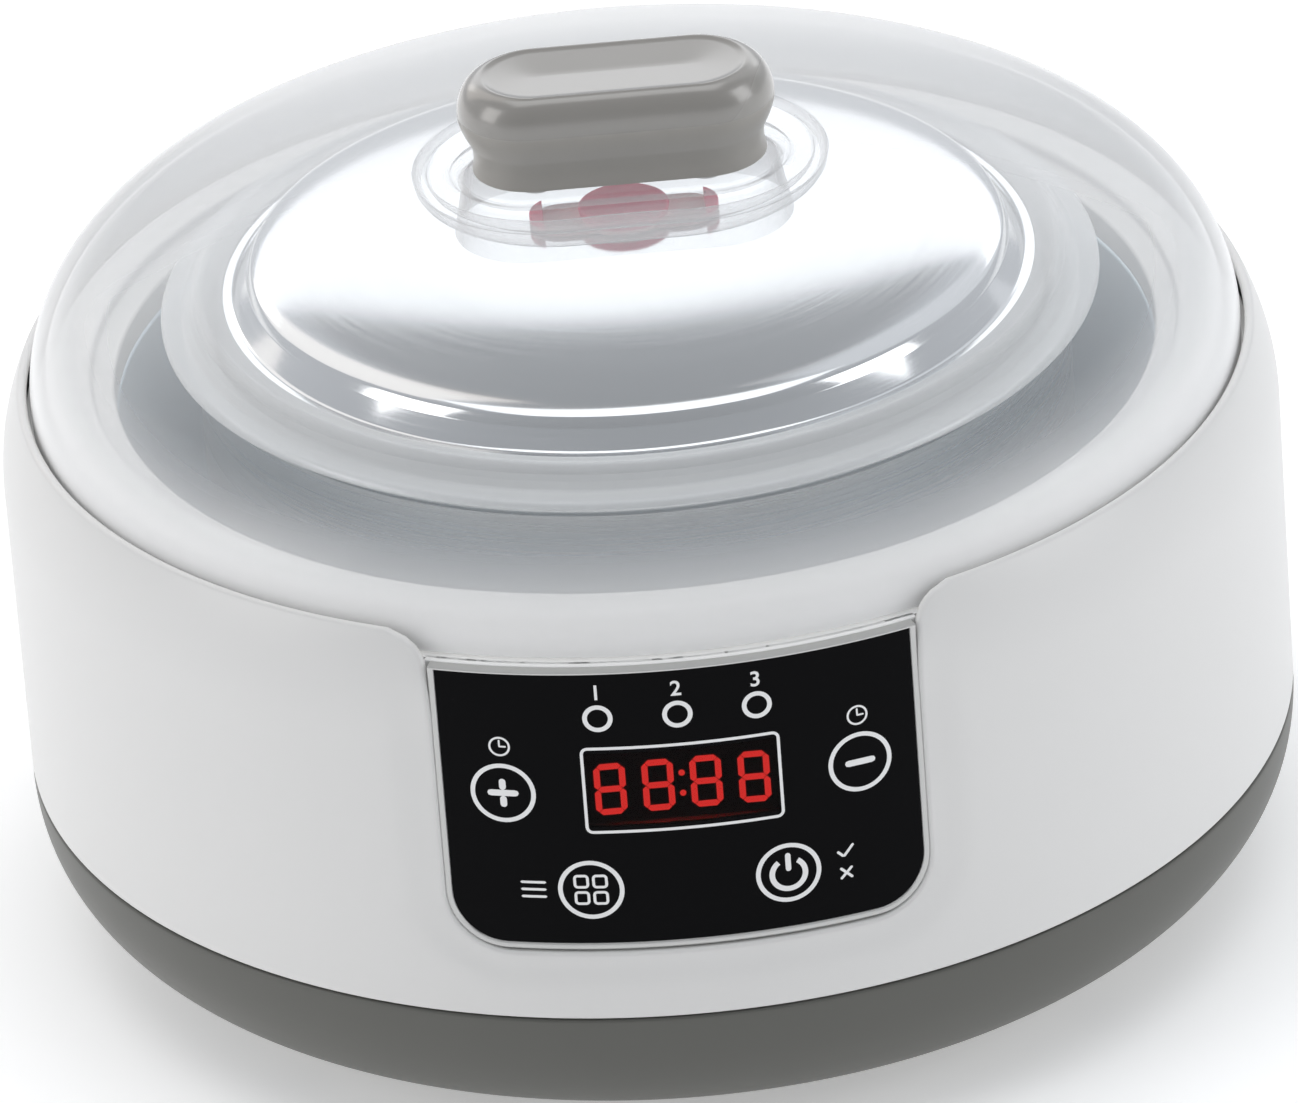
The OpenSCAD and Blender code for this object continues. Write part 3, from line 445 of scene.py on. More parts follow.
def band(outer, inner):
    """A flat band in X and Z between two outlines of equal count."""
    mesh = bmesh.new()
    rings = [[mesh.verts.new((x, 0, z)) for x, z in line] for line in (outer, inner)]
    for i in range(len(outer)):
        mesh.faces.new((rings[0][i - 1], rings[0][i], rings[1][i], rings[1][i - 1]))
    return mesh


def thicken(mesh, front, back):
    """Gives a flat mesh at depth 0 a front and a back, in millimetres."""
    for vert in mesh.verts:
        vert.co.y = front
    made = bmesh.ops.extrude_face_region(mesh, geom=mesh.faces[:])["geom"]
    for vert in made:
        if isinstance(vert, bmesh.types.BMVert):
            vert.co.y = back
    bmesh.ops.recalc_face_normals(mesh, faces=mesh.faces)


def round_front(turn, radius, z):
    """A point in metres at a radius, turned by radians from the body's front."""
    return Vector((radius * math.sin(turn), -radius * math.cos(turn), z)) * MM


def wrap(mesh, radius):
    """Bends a mesh of (way round, depth, height) round the body's front."""
    for vert in mesh.verts:
        vert.co = round_front(vert.co.x / radius, radius + vert.co.y, vert.co.z)
    bmesh.ops.recalc_face_normals(mesh, faces=mesh.faces)


def join(parts):
    """One mesh of several; the parts are used up."""
    whole = bmesh.new()
    for part in parts:
        scrap = bpy.data.meshes.new("scrap")
        part.to_mesh(scrap)
        part.free()
        whole.from_mesh(scrap)
        bpy.data.meshes.remove(scrap)
    return whole


def make_piece(name, mesh, body, material, replaced=(), sharp=30):
    """Turns a bmesh into a finished piece that rides on a body."""
    data = bpy.data.meshes.new(name)
    mesh.to_mesh(data)
    mesh.free()
    data.materials.append(material)
    data.shade_smooth()
    data.set_sharp_from_angle(angle=math.radians(sharp))
    piece = bpy.data.objects.new(name, data)
    bpy.context.scene.collection.objects.link(piece)
    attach(piece, body)
    if replaced:
        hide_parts(*replaced)
    return piece


def dress(node, material):
    """Gives a fixed node its finish."""
    data = frame["nodes"][node].data
    data.materials.clear()
    data.materials.append(material)


# Materials

LINES_PER_METRE = 2400.0


class Value:
    """A number in a node tree; arithmetic on values adds Math nodes."""

    def __init__(self, tree, socket):
        self.tree = tree
        self.socket = socket

    def math(self, operation, *others):
        node = self.tree.nodes.new("ShaderNodeMath")
        node.operation = operation
        for socket, value in zip(node.inputs, (self, *others)):
            plug(self.tree, socket, value)
        return Value(self.tree, node.outputs[0])

    def clamped(self):
        """The value, kept between 0 and 1."""
        return self.math("MINIMUM", 1.0).math("MAXIMUM", 0.0)

    def __add__(self, other):
        return self.math("ADD", other)

    def __sub__(self, other):
        return self.math("SUBTRACT", other)

    def __rsub__(self, other):
        return self.math("MULTIPLY_ADD", -1.0, other)

    def __mul__(self, other):
        return self.math("MULTIPLY", other)

    def __truediv__(self, other):
        return self.math("DIVIDE", other)

    def __pow__(self, other):
        return self.math("POWER", other)

    __radd__ = __add__
    __rmul__ = __mul__


def plug(tree, socket, value):
    """Sets a socket to a plain value or links it to a Value."""
    if isinstance(value, Value):
        tree.links.new(value.socket, socket)
    else:
        socket.default_value = value


class Nodes:
    """Adds nodes to one tree."""

    def __init__(self, tree):
        self.tree = tree

    def node(self, kind, settings=None, output=0, **inputs):
        """Any node: settings first, then its sockets, given by name or number."""
        node = self.tree.nodes.new(kind)
        for key, value in (settings or {}).items():
            setattr(node, key, value)
        for key, value in inputs.items():
            name = int(key[1:]) if key[0] == "_" else key.replace("_", " ")
            plug(self.tree, node.inputs[name], value)
        return Value(self.tree, node.outputs[output])

    def split(self, vector):
        """A vector's X, Y and Z."""
        parts = self.node("ShaderNodeSeparateXYZ", Vector=vector).socket.node.outputs
        return [Value(self.tree, part) for part in parts]


class Finish(Nodes):
    """One procedural material, built round a Principled shader."""

    def __init__(self, name, colour, roughness, sockets=None):
        self.material = bpy.data.materials.new(name)
        self.material.use_nodes = True
        super().__init__(self.material.node_tree)
        self.shader = self.tree.nodes["Principled BSDF"]
        self.set("Base Color", (*colour, 1))
        self.set("Roughness", roughness)
        for socket, value in (sockets or {}).items():
            self.set(socket, value)

    def set(self, socket, value):
        plug(self.tree, self.shader.inputs[socket], value)

    def place(self):
        """The surface's place in Object coordinates, in metres."""
        return self.node("ShaderNodeTexCoord", output=3)

    def noise(self, scale, detail=2.0, vector=None):
        return self.node("ShaderNodeTexNoise", Vector=vector or self.place(),
                         Scale=scale, Detail=detail)

    def mix(self, factor, first, second):
        """A colour between two colours."""
        return self.node("ShaderNodeMix", {"data_type": "RGBA"}, output=2,
                         _0=factor, _6=first, _7=second)

    def bump(self, height, strength, distance):
        self.set("Normal", self.node("ShaderNodeBump", Height=height,
                                     Strength=strength, Distance=distance))


def tint(colour, factor):
    return (*[min(1.0, part * factor) for part in colour], 1)


def moulded(name, colour, roughness=0.4, grain=0.02, spread=0.03, sockets=None):
    """Moulded plastic: a faint drift in colour and gloss over a fine grain."""
    finish = Finish(name, colour, roughness, sockets)
    drift = finish.noise(9.0, 3.0)
    finish.set("Base Color", finish.mix(drift, tint(colour, 1 - spread), tint(colour, 1 + spread)))
    finish.set("Roughness", roughness + (drift - 0.5) * 0.12)
    finish.bump(finish.noise(2600.0, 2.0), grain, 0.1 * MM)
    return finish


def turned_metal(name, colour, roughness=0.25, lines=0.25, metallic=1.0):
    """Metal turned on a lathe: fine lines round the axis."""
    finish = Finish(name, colour, roughness, {"Metallic": metallic})
    x, y, z = finish.split(finish.place())
    out = (x * x + y * y) ** 0.5
    turn = y.math("ARCTAN2", x)
    path = finish.node("ShaderNodeCombineXYZ", X=out * LINES_PER_METRE, Y=turn * 1.2,
                       Z=z * LINES_PER_METRE)
    streaks = finish.noise(1.0, 3.0, path)
    broad = finish.noise(14.0, 2.0)
    finish.set("Base Color", finish.mix(streaks, tint(colour, 0.95), tint(colour, 1.03)))
    finish.set("Roughness", roughness + (streaks - 0.5) * 0.12 + (broad - 0.5) * 0.08)
    finish.bump(streaks, lines, 0.02 * MM)
    return finish


def frosted(name, colour, alpha, roughness, thicken_edge, skirt=0.0):
    """Milky see-through plastic, denser where seen edge on and down its skirt; down the skirt its
    colour also turns whiter, which is painted light.
    """
    finish = moulded(name, colour, roughness, grain=0.01, spread=0.02,
                     sockets={"Specular IOR Level": 0.25})
    edge = finish.node("ShaderNodeLayerWeight", output=1, Blend=0.5)
    body = edge ** 2.0 * thicken_edge + alpha
    if skirt > 0:
        skirt_top = SEAT_Z + 22
        fade = 20
        z = finish.split(finish.place())[2]
        fall = ((skirt_top * MM - z) / (fade * MM)).clamped()
        body = body + fall * skirt
        # painted light: the colour turns whiter down the skirt to brighten the band round the
        # body's top; the rising alpha there is the milky plastic's own density
        finish.set("Base Color", finish.mix(fall, (*colour, 1), (0.95, 0.95, 0.95, 1)))
    finish.set("Alpha", body.math("MINIMUM", 1.0))
    finish.material.surface_render_method = "BLENDED"
    return finish


def silicone(name, deep, pale):
    """Soft silicone, paler where it is thin."""
    finish = Finish(name, deep, 0.45, {"Subsurface Weight": 0.15, "Subsurface Scale": 3 * MM})
    z = finish.split(finish.place())[2]
    thick = ((z - (PLATE_TOP + 0.1) * MM) / (0.4 * MM)).clamped()
    drift = finish.noise(40.0)
    body = finish.mix(drift, tint(deep, 0.92), tint(deep, 1.08))
    finish.set("Base Color", finish.mix(thick, (*pale, 1), body))
    finish.set("Roughness", 0.42 + drift * 0.08)
    finish.bump(finish.noise(1800.0), 0.03, 0.1 * MM)
    return finish


# Pieces


def corner_distance(side, up, radius):
    """Distance in metres from a rounded edge, given a point's place past its centre."""
    if side > 0 and up > 0:
        return (math.hypot(side, up) - radius) * MM
    return (max(side, up) - radius) * MM


def opening_distance(co):
    """Signed distance, in metres, from the panel's opening in the shell; negative inside."""
    if co.y > 0:
        return 1.0
    x = abs(co.x) / MM
    z = co.z / MM
    clearance = 0.35
    half = FRAME_HIGH.x + clearance
    low = FRAME_LOW.z - clearance
    corner = 9.85
    notch = 5.5
    if z > RIM_Z - notch:
        if x > half + notch:
            return (x - half) * MM
        return (notch - math.hypot(x - half - notch, z - RIM_Z + notch)) * MM
    return corner_distance(x - (half - corner), (low + corner) - z, corner)


def shell_radius(z, sizes):
    """Radius of the shell's outside at a height, in millimetres."""
    bend = sizes.shoulder_radius / MM
    start = RIM_Z - sizes.shoulder_height / MM
    if z <= start:
        return BODY_R
    return BODY_R - bend + math.sqrt(max(bend * bend - (z - start) ** 2, 0))


def inlet_distance(co):
    """Signed distance, in metres, from the mains inlet's opening; negative inside."""
    if co.y < 0:
        return 1.0
    corner = 1.0
    clearance = 0.2
    ear = 3
    lip = 2
    side = abs(co.x) / MM - (INLET_HIGH.x - ear + clearance) + corner
    up = abs(co.z / MM - (INLET_LOW.z + INLET_HIGH.z) / 2)
    up -= (INLET_HIGH.z - INLET_LOW.z) / 2 - lip + clearance - corner
    return corner_distance(side, up, corner)


def make_shell(sizes, material):
    edge = sizes.edge_radius
    top = RIM_Z - 0.57 * edge / MM
    rows = 64
    foot = JOINT_Z + 0.15
    fold = 0.5
    profile = [(BODY_R - 2.3, foot), (BODY_R - fold, foot)]
    profile += arc((BODY_R - fold, foot + fold), fold, -80, 0, 4)
    heights = [foot + fold + (top - foot - fold) * i / rows for i in range(1, rows + 1)]
    profile += [(shell_radius(z, sizes), z) for z in heights]
    mesh = lathe(profile, steps=440)
    turn_outward(mesh, 0)

    def lift(side):
        def on_skin(co):
            radius = shell_radius(co.z / MM, sizes) * MM
            x = max(-radius, min(radius, co.x))
            return Vector((x, side * math.sqrt(radius * radius - x * x), co.z))
        return on_skin

    trim(mesh, lambda co: opening_distance(co) - edge, lift(-1), 4 * MM)
    small = 0.4 * MM
    trim(mesh, lambda co: inlet_distance(co) - small, lift(1), 4 * MM)
    dip_width = 6 * MM
    for vert in mesh.verts:
        if vert.co.y < 0 and vert.co.z < (RIM_Z - 6) * MM and vert.co.z > (JOINT_Z + 1) * MM:
            gap = opening_distance(vert.co) - edge
            share = 1 - smooth_step(gap / dip_width)
            inward = Vector((vert.co.x, vert.co.y, 0)).normalized()
            below = smooth_step((RIM_Z - 6 - vert.co.z / MM) / 12)
            vert.co -= inward * sizes.panel_dip * share * below
    rings = free_rings(mesh)
    rim = max(rings, key=lambda ring: max(v.co.z for v in ring))
    inlet = min(rings, key=len)
    roll_edge(mesh, rim, edge, 2.4 * MM, sweep=180, steps=8)
    roll_edge(mesh, inlet, small, 2 * MM)
    return make_piece("shell", mesh, "body", material, ["outer_shell"], sharp=50)


def base_side(sizes, inset, steps=40):
    """Points up the base's side, moved in by inset."""
    flat = sizes.flat_radius / MM
    power = 2 / sizes.base_power
    across = BODY_R - inset - flat
    height = JOINT_Z - BASE_LOW.z - inset
    turns = [math.pi / 2 * i / steps for i in range(steps + 1)]
    return [(flat + across * math.sin(t) ** power, JOINT_Z - height * math.cos(t) ** power)
            for t in turns]


def make_floor_plate(radius):
    """The base's flat underside with the cooling slots."""
    mesh = bmesh.new()
    low = BASE_LOW.z

    def loop(points):
        ring = [mesh.verts.new(Vector((x, y, low)) * MM) for x, y in points]
        for i in range(len(ring)):
            mesh.edges.new((ring[i - 1], ring[i]))
        return ring

    loop(arc((0, 0), radius, 0, 360, LATHE_STEPS)[:-1])
    holes = []
    for side in (-1, 1):
        for i in range(5):
            slot = [stadium(18, 2.4, k / 32) for k in range(32)]
            holes.append(loop([((i - 2) * 6 - y, side * 46 + x) for x, y in slot]))
    bmesh.ops.triangle_fill(mesh, edges=mesh.edges[:], use_beauty=True)
    for ring in holes:
        extrude_ring(mesh, ring, [vert.co + Vector((0, 0, 2.5 * MM)) for vert in ring])
    return mesh


def cut_wells(mesh, sizes):
    """Screw wells in the base's curved side."""
    flat = sizes.flat_radius / MM
    across = BODY_R - flat
    height = JOINT_Z - BASE_LOW.z
    wells = [Vector((WELL_CIRCLE_R * math.cos(turn), WELL_CIRCLE_R * math.sin(turn))) * MM
             for turn in (math.radians(t) for t in (45, 135, 225, 315))]

    def gap(co):
        if co.z > (JOINT_Z - 3) * MM:
            return 1.0
        return min((co.xy - well).length for well in wells) - WELL_R * MM

    def lift(co):
        share = max(0.0, (co.xy.length / MM - flat) / across) ** sizes.base_power
        z = JOINT_Z - height * (1 - share) ** (1 / sizes.base_power)
        return Vector((co.x, co.y, z * MM))

    near = [e for e in mesh.edges if max(gap(v.co) for v in e.verts) < 4 * MM]
    made = bmesh.ops.subdivide_edges(mesh, edges=near, cuts=3, use_grid_fill=True)
    for item in made["geom_inner"]:
        if isinstance(item, bmesh.types.BMVert):
            item.co = lift(item.co)
    trim(mesh, gap, lift, 2 * MM)
    for ring in free_rings(mesh):
        if min(gap(v.co) for v in ring) < 0.5 * MM:
            extrude_ring(mesh, ring, [vert.co + Vector((0, 0, 12 * MM)) for vert in ring])


def make_base(sizes, material):
    outer = base_side(sizes, 0)[:-1]
    lip = rounded([(BODY_R - 0.02, JOINT_Z - 1.2, 0), (BODY_R - 0.02, JOINT_Z - 0.1, 0.5),
                   (BODY_R - 2.7, JOINT_Z - 0.1, 0.1), (BODY_R - 2.7, JOINT_Z + 3, 0.3),
                   (BODY_R - 4.9, JOINT_Z + 3, 0.3), (BODY_R - 4.9, JOINT_Z - 2, 0)])
    side = lathe(outer + lip)
    turn_outward(side, 0)
    cut_wells(side, sizes)
    plate = make_floor_plate(sizes.flat_radius / MM)
    for face in plate.faces:
        if face.normal.z > 0.5:
            face.normal_flip()
    whole = join([side, plate])
    bmesh.ops.remove_doubles(whole, verts=whole.verts, dist=0.001 * MM)
    return make_piece("base", whole, "body", material, ["base_cover"])


def make_deck(material):
    inner = BOWL_INNER_R + 0.3
    ring_r = SKIRT_R - 2.2 - 1.1
    top = DECK_HIGH.z
    flange = SKIRT_R + 1.0
    profile = rounded([
        (inner, SEAT_Z + 0.7, 0), (inner, top - 2.4, 0.8), (BOWL_INNER_R + 3.9, top - 1.6, 0.6),
        (BOWL_INNER_R + 4.1, top, 0.9), (ring_r, top, 1.6), (ring_r, SEAT_Z, 0.8),
        (flange, SEAT_Z, 0), (flange, SEAT_Z - 3.3, 0), (93.6, SEAT_Z - 3.3, 0),
        (93.6, SEAT_Z - 0.3, 0), (inner + 2.9, SEAT_Z - 0.3, 0), (inner + 2.9, SEAT_Z + 0.7, 0)])
    mesh = lathe(profile, closed=True)
    # tongue behind the panel's upper edge
    half = FRAME_HIGH.x + 0.3
    reach = PANEL_R - 2.2
    section = rounded([(flange - 0.6, SEAT_Z - 3.0, 0), (flange - 0.6, SEAT_Z, 0),
                       (reach, SEAT_Z, 0.3), (reach, SEAT_Z - 3.0, 0)])
    turn = math.asin(half / reach)
    rings = []
    for i in range(49):
        angle = turn * (2 * i / 48 - 1)
        rings.append([round_front(angle, r, z) for r, z in section])
    tongue = stack(rings, close_ends=True)
    return make_piece("deck", join([mesh, tongue]), "body", material,
                      ["upper_deck"])


def make_bowl(material):
    floor = BOWL_LOW.z + 1
    flange_z = BOWL_HIGH.z
    edge_r = BOWL_HIGH.x
    profile = rounded([
        (0, floor, 0), (BOWL_INNER_R, floor, 14), (BOWL_INNER_R, flange_z, 0.8),
        (edge_r, flange_z, 0), (edge_r, flange_z - 1, 0), (BOWL_INNER_R + 1, flange_z - 1, 0.4),
        (BOWL_INNER_R + 1, floor - 1, 15), (0, floor - 1, 0)], steps=12)
    return make_piece("bowl", lathe(profile), "body", material, ["heating_bowl"])


def make_pot(material):
    radius = POT_HIGH.x - 2.1
    wall = 0.7
    bead = 1.4
    low = POT_LOW.z
    rim = POT_HIGH.z
    outer = rounded([(0, low, 0), (radius, low, 12), (radius, rim - bead - 0.6, 0)], steps=12)
    roll = arc((radius - wall + bead, rim - bead), bead, -60, 180, 16)
    inner = rounded([(radius - wall, rim - bead, 0), (radius - wall, low + wall, 11.3),
                     (0, low + wall, 0)], steps=12)
    return make_piece("pot", lathe(outer + roll + inner[1:]), "pot", material,
                      ["inner_pot"])


def make_pot_rim(material):
    """Milky ring: a flat flange, a cone up to a round bead, and the slot round the dome."""
    wall = 1.6
    edge_r = POT_LID_HIGH.x
    seat = POT_LID_LOW.z + 6
    top = seat + wall
    crest = POT_LID_HIGH.z
    bead = 1.4
    bead_x = DOME_HIGH.x + 2.6
    slot_r = DOME_HIGH.x - 1
    inner = POT_PLUG_R - wall
    foot = DOME_LOW.z
    under = rounded([
        (inner, seat - 1, 0), (inner, POT_LID_LOW.z, 0.4), (POT_PLUG_R, POT_LID_LOW.z, 0.4),
        (POT_PLUG_R, seat, 0.3), (edge_r, seat, 0.4), (edge_r, top, 0.8),
        (bead_x + 3.4, top + 0.25, 1.2), (bead_x + 2.1, crest - 2.3, 0.6),
        (bead_x + bead, crest - bead, 0)])
    roll = arc((bead_x, crest - bead), bead, 0, 130, 12)
    slot = rounded([roll[-1] + (0,), (slot_r, crest - 0.8, 0.3), (slot_r, foot + 0.7, 0),
                    (DOME_HIGH.x, foot + 0.7, 0), (DOME_HIGH.x, foot, 0), (slot_r, foot, 0),
                    (slot_r, foot - 1.2, 0)])
    mesh = lathe(under[:-1] + roll + slot[1:], closed=True)
    return make_piece("pot_lid_rim", mesh, "pot_lid", material, ["pot_lid"])


def make_dome(material):
    """Pressed dome with a steep foot and a hole for the vent plug."""
    seat_r = DOME_HIGH.x
    sheet = 0.7
    seat = DOME_LOW.z + sheet
    foot = seat + 3.6
    dome_r = seat_r - 5.4
    hole = 4.5

    def skin(inset):
        points = []
        for i in range(49):
            turn = math.pi / 2 * i / 48
            points.append((
                hole + (dome_r - inset - hole) * math.cos(turn) ** 0.8,
                foot - inset + (DOME_HIGH.z - foot) * math.sin(turn) ** 0.8))
        return points

    outer = skin(0)
    rise = rounded([(seat_r, seat, 0), (dome_r + 2.9, seat, 1.0), (dome_r + 0.3, foot - 0.5, 0.8),
                    outer[4] + (0,)], steps=8)
    drop = rounded([skin(sheet)[4] + (0,), (dome_r + 0.3 - sheet, foot - 0.8, 0.3),
                    (dome_r + 2.6 - sheet, seat - sheet, 0.3), (seat_r, seat - sheet, 0)])
    profile = rise[:-1] + outer[4:] + skin(sheet)[:3:-1] + drop[1:]
    return make_piece("pot_lid_dome", lathe(profile, closed=True), "pot_lid", material,
                      ["pot_lid_dome"])


def make_plug(material):
    """Stem and boss, a long low plate, and a rib at each of its ends."""
    top = PLUG_HIGH.z
    plate = PLATE_TOP - 0.7
    boss = lathe(rounded([
        (0, PLUG_LOW.z, 0), (3.6, PLUG_LOW.z, 0.3), (4.45, PLUG_LOW.z + 0.8, 0.2),
        (4.45, plate, 0), (7.2, plate + 0.2, 0), (7.2, plate + 1.4, 0.3), (7.7, top, 0.5),
        (0, top, 0)]))
    length = PLUG_HIGH.x - PLUG_LOW.x
    width = 11
    shares = [i / 96 for i in range(96)]

    def plate_ring(inset, z):
        return stadium_ring(length - 2 * inset, width - 2 * inset, z, shares)

    sheet = stack([plate_ring(0.2, plate), plate_ring(0, plate + 0.15),
                   plate_ring(0, PLATE_TOP - 0.2), plate_ring(0.2, PLATE_TOP)], close_ends=True)
    rib = 2.3
    rib_rise = ((0.02, 0.1), (0.02, 1.9), (0.12, 2.1), (0.4, 2.2))

    def rib_ring(side, inset, z):
        radius = width / 2 - inset
        chord = length / 2 - rib + inset - (length - width) / 2
        turn = math.degrees(math.acos(chord / radius))
        line = arc(((length - width) / 2, 0), radius, -turn, turn, 20)
        return [Vector((side * x, y, z)) * MM for x, y in line]

    parts = [boss, sheet]
    for side in (-1, 1):
        parts.append(stack([rib_ring(side, inset, plate + rise) for inset, rise in rib_rise],
                           close_ends=True))
    return make_piece("vent_plug_cap", join(parts), "vent_plug", material,
                      ["vent_plug"])


def make_outer_lid(sizes, material):
    bend = sizes.shoulder_radius / MM
    dome = sizes.dome_radius / MM
    wall = sizes.wall / MM
    depth = sizes.recess_depth / MM
    length = sizes.recess_length / MM
    width = sizes.recess_width / MM
    floor = PLUG_HIGH.z + sizes.plug_clearance / MM + wall
    dome_top = floor + depth
    centre = dome_top - dome
    shoulder_r = SKIRT_R - bend
    break_angle = 67
    edge_r = shoulder_r + bend * math.cos(math.radians(break_angle))
    tilt = math.degrees(math.asin(edge_r / dome))
    skirt_top = centre + dome * math.cos(math.radians(tilt)) - bend * math.sin(
        math.radians(break_angle))
    low = LID_LOW.z
    profile = [(SKIRT_R - 0.5, low)] + arc((SKIRT_R - 0.5, low + 0.5), 0.5, -60, 0, 3)
    profile += arc((shoulder_r, skirt_top), bend, 0, break_angle - 3, 24)
    steps = 70
    slopes = [math.radians(tilt * 0.985 * (1 - i / steps)) for i in range(steps + 1)]
    profile += [(dome * math.sin(turn), centre + dome * math.cos(turn)) for turn in slopes]
    mesh = lathe(profile)
    turn_outward(mesh, 2)
    edge = 1.0
    half_span = (length - width) / 2 * MM

    def recess_distance(co):
        x = max(abs(co.x) - half_span, 0.0)
        return math.hypot(x, co.y) - width / 2 * MM

    def lift(co):
        height = centre * MM + math.sqrt((dome * MM) ** 2 - co.x ** 2 - co.y ** 2)
        return Vector((co.x, co.y, height))

    trim(mesh, recess_distance, lift, 3 * MM)
    ring = min(free_rings(mesh), key=lambda r: max(v.co.xy.length for v in r))
    ring = roll_edge(mesh, ring, edge * MM, 0, steps=6)
    length -= 2 * edge
    width -= 2 * edge
    shares = [stadium_share(v.co.x / MM, v.co.y / MM, length, width) for v in ring]

    def draw_on(ring, long, wide, z):
        return extrude_ring(mesh, ring, stadium_ring(long, wide, z, shares))

    pedestal_l = 55.6
    pedestal_w = 27.4
    seat = GRIP_LOW.z
    turns = [math.pi / 2 * i / 4 for i in range(1, 5)]
    corner = 1.1
    ring = draw_on(ring, length, width, floor + corner)
    for turn in turns:
        grow = corner * (1 - math.cos(turn))
        ring = draw_on(ring, length - 2 * grow, width - 2 * grow,
                       floor + corner * (1 - math.sin(turn)))
    foot = 1.2
    ring = draw_on(ring, pedestal_l + 2 * foot, pedestal_w + 2 * foot, floor)
    for turn in turns:
        grow = foot * (1 - math.sin(turn))
        ring = draw_on(ring, pedestal_l + 2 * grow, pedestal_w + 2 * grow,
                       floor + foot * (1 - math.cos(turn)))
    top = 1.0
    for turn in [0] + turns:
        grow = -top * (1 - math.cos(turn))
        ring = draw_on(ring, pedestal_l + 2 * grow, pedestal_w + 2 * grow,
                       seat - top + top * math.sin(turn))
    ring = draw_on(ring, 30, 4, seat)
    mesh.faces.new(ring)
    mesh.normal_update()
    bmesh.ops.solidify(mesh, geom=mesh.faces[:], thickness=wall * MM)
    lid = make_piece("frosted_lid", mesh, "outer_lid", material,
                     ["outer_lid"], sharp=60)
    # milky plastic passes its light on, which see-through alone doesn't do
    lid.visible_shadow = False
    lid.visible_glossy = False
    return lid


def grip_half_width(share):
    """The grip's half width over the share of its height below the cap, in millimetres."""
    waist = 1.8
    pinch = 0.35
    foot = GRIP_HIGH.y - waist
    if share < WAIST_TOP:
        return foot - pinch * math.sin(math.pi * share / WAIST_TOP)
    return foot + waist * math.sin(math.pi / 2 * (share - WAIST_TOP) / (CAP_SPLIT - WAIST_TOP))


def make_grip(material, cap_material):
    low = GRIP_LOW.z
    top = CAP_HIGH.z
    height = top - low
    full = GRIP_HIGH.y
    span = GRIP_HIGH.x - full
    shares = [i / 160 for i in range(160)]

    def ring(half, extra, z):
        """A ring of the grip; its ends are drawn in by a further extra."""
        return stadium_ring(2 * (span + half - extra), 2 * half, z, shares)

    steps = [CAP_SPLIT * i / 48 for i in range(49)]
    widths = [grip_half_width(t) for t in steps]
    smooth = widths[:1] + [(a + b + c) / 3 for a, b, c in zip(widths, widths[1:], widths[2:])]
    smooth += widths[-1:]
    body = stack([ring(half, 0, low + height * t) for half, t in zip(smooth, steps)],
                 close_ends=True)
    handle = make_piece("grip_body", body, "outer_lid", material, ["lid_handle"])
    rise = height * (1 - CAP_SPLIT)
    edge = 3.0
    end_edge = 4.4
    turns = [math.pi / 2 * i / 20 for i in range(21)]

    rings = [ring(full - edge * (1 - math.cos(t)), (end_edge - edge) * (1 - math.cos(t)),
                  top - rise * (1 - math.sin(t))) for t in turns]
    # a crease round the plateau, then a shallow dish whose slopes meet on the middle line
    crease = 0.12
    dish = 0.5
    plateau = full - edge - 0.25
    for share in (0, 0.12, 0.25, 0.4, 0.55, 0.7, 0.85, 0.999):
        rings.append(ring(plateau * (1 - share), end_edge - edge, top - crease - dish * share))
    cap = stack(rings, close_ends=True)
    lid_cap = make_piece("grip_top", cap, "outer_lid", cap_material, ["handle_cap"])
    for piece in (handle, lid_cap):
        piece.visible_glossy = False


def panel_line(inset, corner=9.7):
    """The panel's outline as way round and height, moved in by inset."""
    half = PANEL_R * math.asin(FRAME_HIGH.x / PANEL_R) - inset
    low = FRAME_LOW.z + inset
    top = FRAME_HIGH.z - inset * FRAME_TOP_SHARE
    turn = corner - inset
    points = [(half - 2 * half * i / 60, top) for i in range(61)]
    points += [(-half, top - (top - low - turn) * i / 20) for i in range(1, 20)]
    points += arc((-half + turn, low + turn), turn, 180, 270, 12)
    points += [(-half + turn + 2 * (half - turn) * i / 50, low) for i in range(1, 50)]
    points += arc((half - turn, low + turn), turn, 270, 360, 12)
    points += [(half, low + turn + (top - low - turn) * i / 20) for i in range(1, 20)]
    return points


def make_panel_frame(material):
    width = FRAME_WIDTH
    section = [(0, -2.0), (0, -0.1), (0.08, 0.12), (0.25, 0.22), (width - 0.35, 0.22),
               (width - 0.12, 0.12), (width, -0.1), (width, -2.0)]
    rings = [[round_front(way / PANEL_R, PANEL_R + depth, z) for way, z in panel_line(inset)]
             for inset, depth in section]
    mesh = stack(rings, tube=True)
    return make_piece("silver_frame", mesh, "body", material, ["panel_frame"])


def make_overlay(material):
    half = PANEL_R * math.asin(WINDOW_HIGH.x / PANEL_R)
    hole = (-half, WINDOW_LOW.z, half, WINDOW_HIGH.z)
    mesh = flat_plate(panel_line(FRAME_WIDTH + 0.02), [hole])
    thicken(mesh, 0, -0.8)
    wrap(mesh, PANEL_R)
    return make_piece("black_panel", mesh, "body", material, ["panel_overlay"])


# Printed marks, each a flat mesh in way round and height


def circle_line(x, z, radius, steps=48):
    return arc((x, z), radius, 0, 360, steps)[:-1]


def ring_mark(x, z, radius, stroke):
    return band(circle_line(x, z, radius), circle_line(x, z, radius - stroke))


def bar_mark(x, z, length, width, turn=0):
    """A straight stroke with round ends, turned by degrees."""
    mesh = bmesh.new()
    angle = math.radians(turn)
    points = []
    for i in range(24):
        a, b = stadium(length, width, i / 24)
        points.append((x + a * math.cos(angle) - b * math.sin(angle),
                       z + a * math.sin(angle) + b * math.cos(angle)))
    mesh.faces.new([mesh.verts.new((a, 0, b)) for a, b in points])
    return mesh


